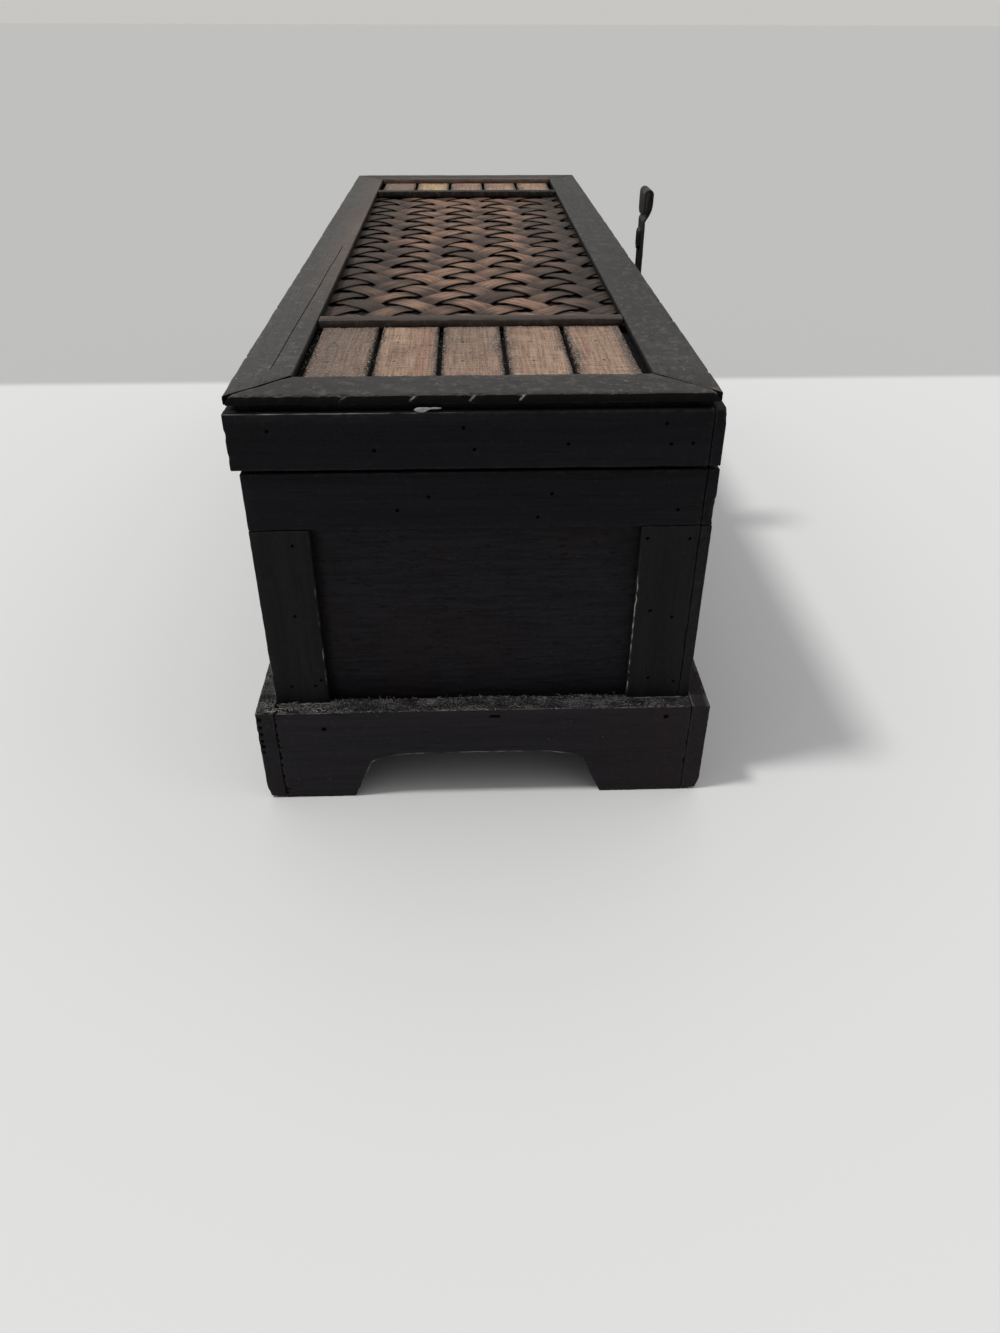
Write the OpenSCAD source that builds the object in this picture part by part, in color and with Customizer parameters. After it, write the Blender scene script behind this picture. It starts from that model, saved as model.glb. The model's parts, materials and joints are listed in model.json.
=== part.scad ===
// Keepsake box of dark stained wood on a bracket base, with slats and a woven panel in its lid.
// The hasp is on the front, +X, and the hinges are on the back. Left is -Y and right is +Y.
// The origin is on the floor under the middle of the base, and +Z is up.

/* [Base] */
// Length of the base from end to end
base_l = 371.9; // [340:0.5:420]
// Width of the base from front to back
base_w = 127; // [115:0.5:150]
// Height of the base boards
base_h = 31; // [26:0.5:38]
// Thickness of the base boards, which is also the width of the ledge round the box
base_t = 5.2; // [4:0.1:8]
// Width of a foot on the floor, seen from an end
end_foot_w = 27.5; // [22:0.5:34]
// Width of a foot on the floor, seen from the front or the back
side_foot_w = 40; // [30:1:70]
// How far the inner edge of a foot leans over the cut-out
foot_lean = 5; // [2:0.5:6]
// Height of the corner where the curve of a cut-out starts
arch_corner_z = 11.5; // [8:0.5:12]
// Height of a cut-out at its middle
arch_h = 15.7; // [13:0.1:16]
// Length of the curve at each end of a cut-out
arch_curve_w = 17; // [6:0.5:19]
// How far the cut-out of an end is off its middle
end_arch_off = 2; // [0:0.1:4]

/* [Box] */
// Height of the top edge of the box, where the lid starts
box_h = 99.2; // [80:0.1:140]
// Height of the underside of the box above the floor
box_z = 16.5; // [16:0.25:20]
// Thickness of the plywood walls
wall_t = 3; // [2.5:0.25:5]
// Thickness of the plywood bottom
bottom_t = 3; // [2:0.25:5]
// Thickness of the bands and stiles on the walls
facing_t = 3; // [2.5:0.25:5]
// Height of the band round the top of the box
band_h = 15.2; // [14:0.1:22]
// Width of a corner stile
stile_w = 15; // [12:0.5:22]

/* [Lid] */
// Gap between the lid and the box when shut
lid_gap = 0.9; // [0.2:0.05:1]
// How far the lid sits towards the hinges
lid_back = 1; // [0:0.1:2.5]
// How far the top frame sits towards the hinges
frame_back = 1.5; // [0.6:0.1:1.9]
// How far the rim is wider than the box, at the front and at the back
rim_over_side = 0.7; // [0.5:0.1:1.5]
// How far the rim is longer than the box, at each end
rim_over_end = 0.75; // [0:0.05:2]
// Height of the rim
rim_h = 14.1; // [13:0.1:20]
// Thickness of the rim boards
rim_t = 3; // [2.5:0.25:4]
// Thickness of the walls inside the rim
lid_wall_t = 3; // [2.5:0.25:4]
// Height of the groove between the rim and the top frame
groove_h = 1.4; // [0.8:0.1:2.5]
// How far the top frame is set in from the faces of the rim
frame_inset = 0.9; // [0:0.1:1.5]
// Thickness of the top frame
frame_t = 2.5; // [2:0.1:3.5]
// Width of the front and back rails of the top frame
side_rail_w = 14; // [12:0.25:18]
// Width of the end rails of the top frame
end_rail_w = 14.7; // [12:0.1:18]
// Thickness of the plywood panel in the lid
panel_t = 3; // [2:0.25:4]
// Depth of the panel's upper face below the top of the frame
panel_drop = 4.5; // [4.3:0.1:6.5]

/* [Slats] */
// Slats side by side at each end of the lid
slat_n = 5; // [3:1:7]
// Gap between two slats
slat_gap = 1; // [0.8:0.1:3]
// Gap between the outer slats and the rails
slat_side_gap = 1.4; // [0.5:0.1:3]
// Length of the slats at the left end
left_slat_l = 51; // [30:0.5:70]
// Length of the slats at the right end
right_slat_l = 37; // [25:0.5:60]
// Depth of the slats below the top of the frame
slat_drop = 2; // [1.2:0.1:2.6]
// Width of a crossbar
bar_w = 5; // [4:0.25:8]
// Depth of the crossbars below the top of the frame
bar_drop = 0.1; // [0:0.1:0.6]

/* [Weave] */
// Distance between two splints of one direction, along the width of the lid
weave_x = 17.2; // [15:0.1:20]
// Distance between two splints of one direction, along the length of the lid
weave_y = 18.2; // [16:0.1:21]
// Width of a splint
splint_w = 7.4; // [6:0.1:9.2]
// Thickness of a splint
splint_t = 0.6; // [0.5:0.05:1]
// Rise of a splint's back between the edges of the one it crosses
splint_crown = 0.12; // [0.05:0.01:0.3]
// Distance that the edges of the woven panel run under the side rails
weave_tuck = 3; // [2:0.25:5]
// Distance along the lid from its middle to the first crossing line
weave_start = -65.4; // [-70:0.1:-60]

/* [Hinges] */
// Distance from an end of the box to the middle of the nearer hinge
hinge_from_end = 70; // [45:1:110]
// Length of a hinge
hinge_l = 25; // [21:0.5:40]
// Thickness of a hinge leaf
leaf_t = 0.8; // [0.6:0.05:1]
// Outer radius of a hinge knuckle
knuckle_r = 1.6; // [1.4:0.05:1.8]
// Radius of a hinge pin
hinge_pin_r = 0.7; // [0.5:0.05:0.8]

/* [Hasp] */
// Distance of the hasp from the middle of the box, towards the left
hasp_off = 15.5; // [-60:1:60]
// Height of the hasp's pin above the lower edge of the rim
hasp_pin_up = 6.5; // [5.5:0.1:6.8]
// Width of the hasp's arm
arm_w = 11.4; // [10:0.1:14]
// Thickness of the hasp's sheet metal
sheet_t = 0.8; // [0.6:0.05:1]
// Length of the arm's flat part, from the pin to the bend
arm_l = 20.6; // [20.4:0.1:22]
// Radius of the curl at the tip of the arm
curl_r = 1.3; // [1.2:0.05:1.5]
// Distance from the pin to the middle of the staple's eye when the arm is shut
eye_down = 14.9; // [14:0.1:16]
// Radius of the wire of the staple's eye
eye_wire_r = 0.55; // [0.45:0.05:0.65]

/* [Hidden] */
SIDES = ["front", "back", "left", "right"];

// Clearance between a fastener and its bore
fit = 0.03;
// Clearance of a turning part from its neighbours
run_gap = 0.2;
// Radial clearance of a hinge pin in its knuckles
pin_fit = 0.05;
// Overshoot of a cut past the face it opens on
over = 1;

// Outer faces of the box
box_l = base_l - 2 * base_t;
box_w = base_w - 2 * base_t;
band_z = box_h - band_h;
room_l = box_l - 2 * (facing_t + wall_t);
room_w = box_w - 2 * (facing_t + wall_t);

// Levels and outer faces of the lid
rim_z = box_h + lid_gap;
rim_l = box_l + 2 * rim_over_end;
rim_w = box_w + 2 * rim_over_side;
frame_z = rim_z + rim_h + groove_h;
top_z = frame_z + frame_t;
frame_l = rim_l - 2 * frame_inset;
frame_w = rim_w - 2 * frame_inset;
lid_l = rim_l - 2 * rim_t;
lid_w = rim_w - 2 * rim_t;
hollow_l = lid_l - 2 * lid_wall_t;
hollow_w = lid_w - 2 * lid_wall_t;
panel_z = top_z - panel_drop;

// The opening of the top frame, and what lies in it
window_l = frame_l - 2 * end_rail_w;
window_w = frame_w - 2 * side_rail_w;
slat_w = (window_w - 2 * slat_side_gap - (slat_n - 1) * slat_gap) / slat_n;
slat_end_gap = 0.3;
weave_lo = -window_l / 2 + left_slat_l + bar_w;
weave_hi = window_l / 2 - right_slat_l - bar_w;
left_slat_y = -window_l / 2 + slat_end_gap;
right_slat_y = weave_hi + bar_w + slat_end_gap;

// The weave: the splints of one direction rise along +X and +Y, the others fall
splint_fit = 0.06;
splint_lift = (splint_t + splint_fit) / 2;
weave_z = panel_z + splint_fit + splint_lift + splint_crown + splint_t / 2;
weave_step = norm([weave_x, weave_y]) / 2;
weave_angle = atan2(weave_y, weave_x);
splint_pitch = weave_x * weave_y / norm([weave_x, weave_y]);
bar_seat = weave_z + splint_lift + splint_crown + splint_t / 2 + splint_fit;
half_cross = splint_w / splint_pitch / 2;
wave_steps = 6;
splint_reach = ceil((window_w / 2 + weave_tuck + splint_w) / weave_x * 2);

// Hinges
hinge_x = -rim_w / 2 - lid_back - knuckle_r - run_gap;
hinge_z = box_h + lid_gap / 2;
hinge_ys = [-(box_l / 2 - hinge_from_end), box_l / 2 - hinge_from_end];
leaf_reach = hinge_x + knuckle_r + run_gap + rim_t + lid_wall_t - 1;
knuckle_l = (hinge_l - 2 * run_gap) / 3;
screw_r = 0.7;
screw_head_r = 1.3;
screw_l = 6;

// Hasp, as it stands when flipped up
hasp_knuckle_r = 1.6;
hasp_pin_r = 0.75;
hasp_knuckle_w = 5.5;
hasp_stand_off = 1.05;
ear_t = 1.2;
ear_y = hasp_knuckle_w / 2 + run_gap;
rivet_head_t = 0.5;
rivet_head_over = 0.4;
rim_face = rim_w / 2 - lid_back;
hasp_pin_x = rim_face + sheet_t + hasp_stand_off + hasp_knuckle_r;
hasp_pin_z = rim_z + hasp_pin_up;
arm_x = hasp_pin_x + hasp_knuckle_r - sheet_t / 2;
neck_l = 3;
slot_mid = eye_down - 0.1;
slot_l = 5.8;
slot_w = 2.2;
slot_rim = 1.1;
slot_rim_h = 1.2;
plate_w = 13;
plate_z = rim_z + 1;
plate_h = rim_h - 2;

// The arm bends outwards, curves back upright, and is rolled over at its tip and down its inner side
bend_r = 2;
bend_a = 38;
head_out = 2.35;
back_r = head_out / (1 - cos(bend_a)) - bend_r;
back_z = hasp_pin_z + arm_l + (bend_r + back_r) * sin(bend_a);
curl_x = arm_x + head_out - curl_r;
curl_z = back_z + 2.6;
curl_tail = 6.9;

// Nails, and their places: distance across from the hasp's middle, and height
nail_r = 0.5;
nail_head_r = 1.1;
nail_head_h = 0.5;
nail_l = 3.4;
plate_nails = [[-4.2, rim_z + rim_h - 3.2], [4.2, rim_z + rim_h - 3.2], [-4.9, rim_z + 3], [4.9, rim_z + 3]];

// Staple on the band, which the arm's slot drops over
eye_z = hasp_pin_z - eye_down;
eye_r = 1.55;
eye_out = 5.2;
staple_w = 12;
staple_h = 11;
eye_nails = [for (y = [-4.3, 4.3], z = [-3.8, 3.8]) [y, eye_z + z]];

// Brads that pin the boards: share of the face's half width, share of the piece's height
brad_r = 0.5;
brad_sink = 0.5;
brad_into = 1.3;
rim_brads = [[-0.83, 0.7], [-0.413, 0.35], [-0.053, 0.73], [-0.01, 0.35], [0.368, 0.43],
    [0.76, 0.77], [0.785, 0.41], [0.874, 0.42]];
band_brads = [[-0.357, 0.34], [-0.223, 0.57], [0.24, 0.19], [0.296, 0.6], [0.84, 0.29]];
// Brads of the two stiles on a face: share of the stile's width, share of its height above the base
stile_brads_a = [[0.7, 0.92], [0.58, 0.53], [0.34, 0.1], [0.78, 0.1], [0.9, 0.137]];
stile_brads_b = [[0.12, 0.935], [0.84, 0.93], [0.29, 0.53], [0.69, 0.49], [0.385, 0.115], [0.87, 0.09]];
// The two brads of a slat: shares of its length, and how far they are off the middle of each slat
slat_brad_at = [0.345, 0.685];
slat_brad_off = [-3.1, -3, -2.6, -1.4, -0.3];
// Brads of a base board, which enter the stiles behind it: share of the stile's width, share of the
// board's height
base_brads = [[0.9, 0.81], [0.73, 0.88]];
// Brads of the long faces: distance apart, and distance of the first and the last from the ends
row_gap = 45;
row_end = 8;

stain = "#1b1a1c";
worn = "#4a4845";
slat_wood = "#96735a";
splint_wood = "#6b564a";
ply = "#3a302b";
iron = "#141414";

// A face is worked on as if it were the front, and then turned into its place
function turn(side) = side == "front" ? 0 : side == "left" ? -90 : side == "back" ? 180 : 90;
function is_long(side) = side == "front" || side == "back";
function half(side, l, w) = (is_long(side) ? w : l) / 2;
function run(side, l, w) = is_long(side) ? l : w;
function reversed(list) = [for (i = [len(list) - 1:-1:0]) list[i]];

module on_side(side) {
    rotate([0, 0, turn(side)]) children();
}

module lid_place() {
    translate([-lid_back, 0, 0]) children();
}

module frame_place() {
    translate([-frame_back, 0, 0]) children();
}

// One of four boards round a rectangle, each of which covers the end of the next
module ring_board(side, l, w, t, z, h) {
    on_side(side)
        translate([half(side, l, w) - t, -run(side, l, w) / 2, z])
            cube([t, run(side, l, w) - t, h]);
}

// One of four boards round a rectangle, where the long ones run through
module frame_board(side, l, w, t, z, h) {
    length = is_long(side) ? l : w - 2 * t;
    on_side(side)
        translate([half(side, l, w) - t, -length / 2, z])
            cube([t, length, h]);
}

// Brads, or their bores, driven into a face at a list of [place along the face, height]
module drive(side, l, w, places, thick, bore = false) {
    deep = thick + brad_into - brad_sink;
    on_side(side)
        for (p = places)
            translate([half(side, l, w) - brad_sink - deep - (bore ? fit : 0), p[0], p[1]])
                rotate([0, 90, 0])
                    cylinder(r = brad_r + (bore ? fit : 0),
                        h = deep + (bore ? fit + brad_sink + over : 0), $fn = 20);
}

// Evenly spaced brads along a long face, one low and the next high
function row(l, n, z, h) = [for (i = [0:n - 1])
    [(i / (n - 1) - 0.5) * (l - 2 * row_end), z + h * (i % 2 == 0 ? 0.33 : 0.7)]];

function ring_places(side, l, w, shares, z, h) = is_long(side)
    ? row(l, round(l / row_gap), z, h)
    : [for (s = shares) [s[0] * w / 2, z + s[1] * h]];

module rim_drive(side, bore = false) {
    lid_place()
        drive(side, rim_l, rim_w, ring_places(side, rim_l, rim_w, rim_brads, rim_z, rim_h), rim_t, bore);
}

module band_drive(side, bore = false) {
    drive(side, box_l, box_w, ring_places(side, box_l, box_w, band_brads, band_z, band_h), facing_t, bore);
}

// The two stiles of a face start at these places along it
function stile_start(side, first) = first
    ? -run(side, box_l, box_w) / 2
    : run(side, box_l, box_w) / 2 - facing_t - stile_w;

module stile_drive(side, first, bore = false) {
    drive(side, box_l, box_w, [for (s = first ? stile_brads_a : stile_brads_b)
        [stile_start(side, first) + s[0] * stile_w, base_h + s[1] * (band_z - base_h)]], facing_t, bore);
}

module base_drive(side, bore = false) {
    drive(side, base_l, base_w, [for (i = [0, 1])
        [stile_start(side, i == 0) + base_brads[i][0] * stile_w, base_h * base_brads[i][1]]], base_t, bore);
}

// Half of a cut-out's outline, from the floor up to its flat middle
function arch_half(reach) = concat(
    [[reach, -over], [reach, 0]],
    [for (a = [0:15:90]) [reach - foot_lean - arch_curve_w * (1 - cos(a)),
        arch_corner_z + (arch_h - arch_corner_z) * sin(a)]]);

module cut_out(side) {
    reach = run(side, base_l, base_w) / 2 - (is_long(side) ? side_foot_w : end_foot_w);
    points = arch_half(reach);
    outline = concat(points, [for (p = reversed(points)) [-p[0], p[1]]]);
    on_side(side)
        translate([half(side, base_l, base_w) - base_t - over, is_long(side) ? 0 : -end_arch_off, 0])
            rotate([90, 0, 90])
                linear_extrude(base_t + 2 * over)
                    polygon(outline);
}

module base_board(side) {
    color(stain)
        difference() {
            frame_board(side, base_l, base_w, base_t, 0, base_h);
            cut_out(side);
            base_drive(side, bore = true);
        }
}

// Recesses for the hinge leaves in the top edge of the box and the lower edge of the lid
module leaf_beds(low, high) {
    for (y = hinge_ys)
        translate([hinge_x, y - hinge_l / 2 - fit, low])
            cube([leaf_reach - hinge_x + fit, hinge_l + 2 * fit, high - low]);
}

module wall(side) {
    color(ply)
        difference() {
            frame_board(side, box_l - 2 * facing_t, box_w - 2 * facing_t, wall_t, box_z, box_h - box_z);
            for (s = SIDES) {
                band_drive(s, bore = true);
                stile_drive(s, true, bore = true);
                stile_drive(s, false, bore = true);
            }
            if (side == "back") leaf_beds(box_h - leaf_t - fit, box_h + over);
            if (side == "back") hinge_screws(bore = true, lid = false);
        }
}

module bottom() {
    color(ply)
        translate([-room_w / 2, -room_l / 2, box_z])
            cube([room_w, room_l, bottom_t]);
}

module band(side) {
    color(stain)
        difference() {
            ring_board(side, box_l, box_w, facing_t, band_z, band_h);
            band_drive(side, bore = true);
            if (side == "back") leaf_beds(box_h - leaf_t - fit, box_h + over);
            if (side == "back") hinge_screws(bore = true, lid = false);
            if (side == "front") staple_nails(bore = true);
        }
}

module stile(side, first) {
    color(stain)
        difference() {
            on_side(side)
                translate([half(side, box_l, box_w) - facing_t, stile_start(side, first), box_z])
                    cube([facing_t, stile_w, band_z - box_z]);
            stile_drive(side, first, bore = true);
            base_drive(side, bore = true);
        }
}

module lid_wall(side) {
    color(ply)
        difference() {
            lid_place() frame_board(side, lid_l, lid_w, lid_wall_t, rim_z, frame_z - rim_z);
            for (s = SIDES) rim_drive(s, bore = true);
            if (side == "back") leaf_beds(rim_z - over, rim_z + leaf_t + fit);
        }
}

module rim(side) {
    color(stain)
        difference() {
            lid_place() ring_board(side, rim_l, rim_w, rim_t, rim_z, rim_h);
            rim_drive(side, bore = true);
            if (side == "back") leaf_beds(rim_z - over, rim_z + leaf_t + fit);
            if (side == "back") hinge_screws(bore = true, lid = true);
            if (side == "front") hasp_nails(bore = true);
        }
}

module lid_panel() {
    color(ply)
        lid_place()
            translate([-hollow_w / 2, -hollow_l / 2, panel_z - panel_t])
                cube([hollow_w, hollow_l, panel_t]);
}

// Strips that carry the inner halves of the rails, outside the edge of the weave and the slats
module lid_packing() {
    side_in = window_w / 2 + weave_tuck + run_gap;
    end_in = window_l / 2 + run_gap;
    h = frame_z - panel_z;
    color(ply) {
        for (s = [-1, 1]) {
            inner = s * side_in - frame_back;
            outer = s * hollow_w / 2 - lid_back;
            translate([min(inner, outer), -hollow_l / 2, panel_z])
                cube([abs(outer - inner), hollow_l, h]);
        }
        frame_place()
            for (s = [-1, 1])
                translate([-side_in + run_gap, s > 0 ? end_in : -hollow_l / 2, panel_z])
                    cube([2 * (side_in - run_gap), hollow_l / 2 - end_in, h]);
    }
}

// A rail of the top frame, mitred from the outer corner to the corner of the opening
module rail(side) {
    outer = half(side, frame_l, frame_w);
    inner = half(side, window_l, window_w);
    outer_run = run(side, frame_l, frame_w) / 2;
    inner_run = run(side, window_l, window_w) / 2;
    color(worn)
        frame_place()
            on_side(side)
                translate([0, 0, frame_z])
                    linear_extrude(frame_t)
                        polygon([[outer, -outer_run], [outer, outer_run], [inner, inner_run],
                            [inner, -inner_run]]);
}

module crossbar(near_y) {
    color(stain)
        frame_place()
            translate([-window_w / 2 + splint_fit, near_y, bar_seat])
                cube([window_w - 2 * splint_fit, bar_w, top_z - bar_drop - bar_seat]);
}

module slats(near_y, length) {
    color(slat_wood)
        difference() {
            frame_place()
                for (i = [0:slat_n - 1])
                    translate([-window_w / 2 + slat_side_gap + i * (slat_w + slat_gap), near_y, panel_z])
                        cube([slat_w, length, panel_drop - slat_drop]);
            slat_brads(near_y, length, bore = true);
        }
}

// Two brads down through each slat
module slat_brads(near_y, length, bore = false) {
    frame_place()
        for (i = [0:slat_n - 1], share = slat_brad_at)
            translate([-window_w / 2 + slat_side_gap + (i + 0.5) * slat_w + i * slat_gap
                    + slat_brad_off[i % len(slat_brad_off)],
                    near_y + share * length, panel_z + (bore ? -over : fit)])
                cylinder(r = brad_r + (bore ? fit : 0),
                    h = panel_drop - slat_drop - (bore ? -2 * over : brad_sink + fit), $fn = 20);
}

// Height of a splint's middle line, where u counts crossings and the splint is on top at even u
function wave(u) = let (v = abs(u - 2 * round(u / 2)))
    v <= half_cross ? splint_lift + splint_crown * cos(90 * v / half_cross)
    : v >= 1 - half_cross ? -splint_lift - splint_crown * cos(90 * (1 - v) / half_cross)
    : splint_lift * cos(180 * (v - half_cross) / (1 - 2 * half_cross));

// Outline of a splint from the side: s is 1 for its upper face and -1 for its lower one
function splint_face(shift, s) = [for (i = [-splint_reach * wave_steps:splint_reach * wave_steps])
    [i / wave_steps * weave_step, wave(i / wave_steps + shift) + s * splint_t / 2]];
function splint_outline(shift) = concat(splint_face(shift, -1), reversed(splint_face(shift, 1)));

// All splints of one direction, cut off under the rails and the crossbars. Where they cross the
// middle line of the lid, the falling ones are on top
module splints(rising) {
    edge_x = window_w / 2 + weave_tuck;
    low = weave_lo - bar_w / 2;
    high = weave_hi + bar_w / 2;
    beyond = ceil(edge_x / weave_x) + 1;
    last = ceil((high - weave_start) / weave_y) + beyond;
    first = floor((low - weave_start) / weave_y) - beyond;
    color(splint_wood)
        frame_place()
            intersection() {
                for (i = [first:last])
                    translate([0, weave_start + i * weave_y, weave_z])
                        rotate([0, 0, rising ? weave_angle : -weave_angle])
                            translate([0, splint_w / 2, 0])
                                rotate([90, 0, 0])
                                    linear_extrude(splint_w)
                                        polygon(splint_outline(rising ? 1 : 0));
                translate([-edge_x, low, panel_z])
                    cube([2 * edge_x, high - low, frame_z - panel_z]);
            }
}

// Hinges: a knuckle at each end of the leaf on the box, and one in the middle of the lid's leaf
function knuckles(lid) = lid ? [1] : [0, 2];

module knuckle(y, i, r) {
    translate([hinge_x, y - hinge_l / 2 + i * (knuckle_l + run_gap), hinge_z])
        rotate([-90, 0, 0])
            cylinder(r = r, h = knuckle_l, $fn = 48);
}

module leaf(y, lid) {
    low = lid ? rim_z : box_h - leaf_t;
    clear_x = hinge_x + knuckle_r + run_gap;
    color(iron)
        difference() {
            union() {
                translate([clear_x, y - hinge_l / 2, low])
                    cube([leaf_reach - clear_x, hinge_l, leaf_t]);
                for (i = knuckles(lid)) {
                    knuckle(y, i, knuckle_r);
                    translate([hinge_x, y - hinge_l / 2 + i * (knuckle_l + run_gap), low])
                        cube([clear_x - hinge_x + over, knuckle_l, leaf_t]);
                }
            }
            for (i = [0:2]) knuckle(y, i, hinge_pin_r + (i % 2 == 1 ? pin_fit : fit));
            hinge_screws(bore = true, lid = lid);
        }
}

module hinge_pin(y) {
    color(iron)
        translate([hinge_x, y - hinge_l / 2, hinge_z])
            rotate([-90, 0, 0])
                cylinder(r = hinge_pin_r, h = hinge_l, $fn = 32);
}

// Two countersunk screws through each leaf, down into the band or up into the rim
module hinge_screws(bore = false, lid = false) {
    x = lid ? -rim_w / 2 - lid_back + rim_t / 2 : -box_w / 2 + facing_t / 2;
    gap = bore ? fit : 0;
    for (y = hinge_ys, s = [-1, 1])
        translate([x, y + s * hinge_l / 3, lid ? rim_z : box_h])
            mirror([0, 0, lid ? 0 : 1]) {
                cylinder(r = screw_r + gap, h = screw_l + gap, $fn = 24);
                cylinder(r1 = screw_head_r + gap, r2 = screw_r + gap, h = leaf_t, $fn = 24);
            }
}

// A piece of the hasp or the staple is drawn round the middle of the hasp
module hasp_place() {
    translate([0, -hasp_off, 0]) children();
}

module along_y(x, z, length, r, fn = 32) {
    translate([x, -length / 2, z])
        rotate([-90, 0, 0])
            cylinder(r = r, h = length, $fn = fn);
}

module hasp_plate() {
    color(iron)
        difference() {
            hasp_place() {
                translate([rim_face, -plate_w / 2, plate_z])
                    cube([sheet_t, plate_w, plate_h]);
                for (s = [-1, 1])
                    translate([0, s * (ear_y + ear_t / 2), 0]) {
                        along_y(hasp_pin_x, hasp_pin_z, ear_t, hasp_knuckle_r);
                        translate([rim_face, -ear_t / 2, hasp_pin_z - hasp_knuckle_r])
                            cube([hasp_pin_x - rim_face, ear_t, 2 * hasp_knuckle_r]);
                    }
            }
            hasp_place() along_y(hasp_pin_x, hasp_pin_z, plate_w, hasp_pin_r + fit);
            hasp_nails(bore = true);
        }
}

// A pin riveted over outside the ears
module hasp_pin() {
    half_l = ear_y + ear_t + run_gap / 2;
    color(iron)
        hasp_place() {
            along_y(hasp_pin_x, hasp_pin_z, 2 * (half_l + rivet_head_t / 2), hasp_pin_r);
            for (s = [-1, 1])
                translate([0, s * (half_l + rivet_head_t / 2), 0])
                    along_y(hasp_pin_x, hasp_pin_z, rivet_head_t, hasp_pin_r + rivet_head_over);
        }
}

// Points on an arc, as [x, z]
function arc(cx, cz, r, from, to, n) = [for (i = [0:n])
    let (a = from + (to - from) * i / n) [cx + r * cos(a), cz + r * sin(a)]];

// A strip of even thickness along a line of points
function side_of(p, i, d) = let (
        a = p[max(i - 1, 0)],
        b = p[min(i + 1, len(p) - 1)],
        n = [b[1] - a[1], a[0] - b[0]] / norm(b - a))
    p[i] + d * n;
function strip(p, t) = concat([for (i = [0:len(p) - 1]) side_of(p, i, t / 2)],
    reversed([for (i = [0:len(p) - 1]) side_of(p, i, -t / 2)]));

// Middle line of the arm's sheet, from the pin to the end of the curl
function arm_line() = concat(
    [[arm_x, hasp_pin_z], [arm_x, hasp_pin_z + arm_l]],
    arc(arm_x + bend_r, hasp_pin_z + arm_l, bend_r, 172, 180 - bend_a, 4),
    arc(arm_x + head_out - back_r, back_z, back_r, 4 - bend_a, 0, 6),
    arc(curl_x, curl_z, curl_r, 0, 180, 14),
    [[curl_x - curl_r, curl_z - curl_tail]]);

// The slot that drops over the staple's eye, or the raised rim round it
module slot_outline(grow) {
    translate([slot_mid, 0]) {
        square([slot_l + 2 * grow - slot_w, slot_w + 2 * grow], center = true);
        for (s = [-1, 1])
            translate([s * (slot_l - slot_w) / 2, 0]) circle(r = slot_w / 2 + grow, $fn = 24);
    }
}

// Draws a shape of [distance from the pin, place across] on the arm, from x outwards
module on_arm(x, t) {
    translate([x, 0, hasp_pin_z])
        rotate([0, -90, 0])
            mirror([0, 0, 1])
                linear_extrude(t) children();
}

module hasp_arm() {
    color(iron)
        hasp_place()
            difference() {
                union() {
                    along_y(hasp_pin_x, hasp_pin_z, hasp_knuckle_w, hasp_knuckle_r, 48);
                    intersection() {
                        translate([0, arm_w / 2, 0])
                            rotate([90, 0, 0])
                                linear_extrude(arm_w) polygon(strip(arm_line(), sheet_t));
                        on_arm(hasp_pin_x - 4, 12) arm_outline();
                    }
                    on_arm(arm_x - sheet_t / 2 - slot_rim_h, slot_rim_h) slot_outline(slot_rim);
                }
                along_y(hasp_pin_x, hasp_pin_z, plate_w, hasp_pin_r + pin_fit);
                on_arm(arm_x - 4, 8) slot_outline(0);
            }
}

// The arm seen square on: a neck between the ears, then the full width
module arm_outline() {
    translate([0, -hasp_knuckle_w / 2]) square([neck_l + over, hasp_knuckle_w]);
    translate([neck_l, -arm_w / 2]) square([curl_z - hasp_pin_z + curl_r + sheet_t - neck_l, arm_w]);
}

// Round-headed nails through the plate into the rim
module hasp_nails(bore = false) {
    color(iron)
        hasp_place()
            nails(rim_face + sheet_t, plate_nails, bore);
}

module nails(x, places, bore) {
    for (p = places)
        translate([x, p[0], p[1]])
            rotate([0, 90, 0]) {
                if (!bore) cylinder(r = nail_head_r, h = nail_head_h, $fn = 24);
                translate([0, 0, -nail_l - (bore ? fit : 0)])
                    cylinder(r = nail_r + (bore ? fit : 0), h = nail_l + (bore ? over : nail_head_h / 2),
                        $fn = 20);
            }
}

module staple() {
    color(iron)
        difference() {
            hasp_place() {
                translate([box_w / 2, -staple_w / 2, eye_z - staple_h / 2])
                    cube([sheet_t, staple_w, staple_h]);
                for (s = [-1, 1])
                    translate([box_w / 2, 0, eye_z + s * eye_r])
                        rotate([0, 90, 0])
                            cylinder(r = eye_wire_r, h = eye_out, $fn = 24);
                translate([box_w / 2 + eye_out, 0, eye_z])
                    rotate([90, 0, 0])
                        rotate([0, 0, -90])
                            rotate_extrude(angle = 180, $fn = 48)
                                translate([eye_r, 0]) circle(r = eye_wire_r, $fn = 24);
            }
            staple_nails(bore = true);
        }
}

module staple_nails(bore = false) {
    color(iron)
        hasp_place()
            nails(box_w / 2 + sheet_t, eye_nails, bore);
}

module brads_base() {
    color(iron) for (side = SIDES) base_drive(side);
}

module brads_box() {
    color(iron)
        for (side = SIDES) {
            band_drive(side);
            stile_drive(side, true);
            stile_drive(side, false);
        }
}

module brads_lid() {
    color(iron) {
        for (side = SIDES) rim_drive(side);
        slat_brads(left_slat_y, left_slat_l - slat_end_gap);
        slat_brads(right_slat_y, right_slat_l - 2 * slat_end_gap);
    }
}

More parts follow.
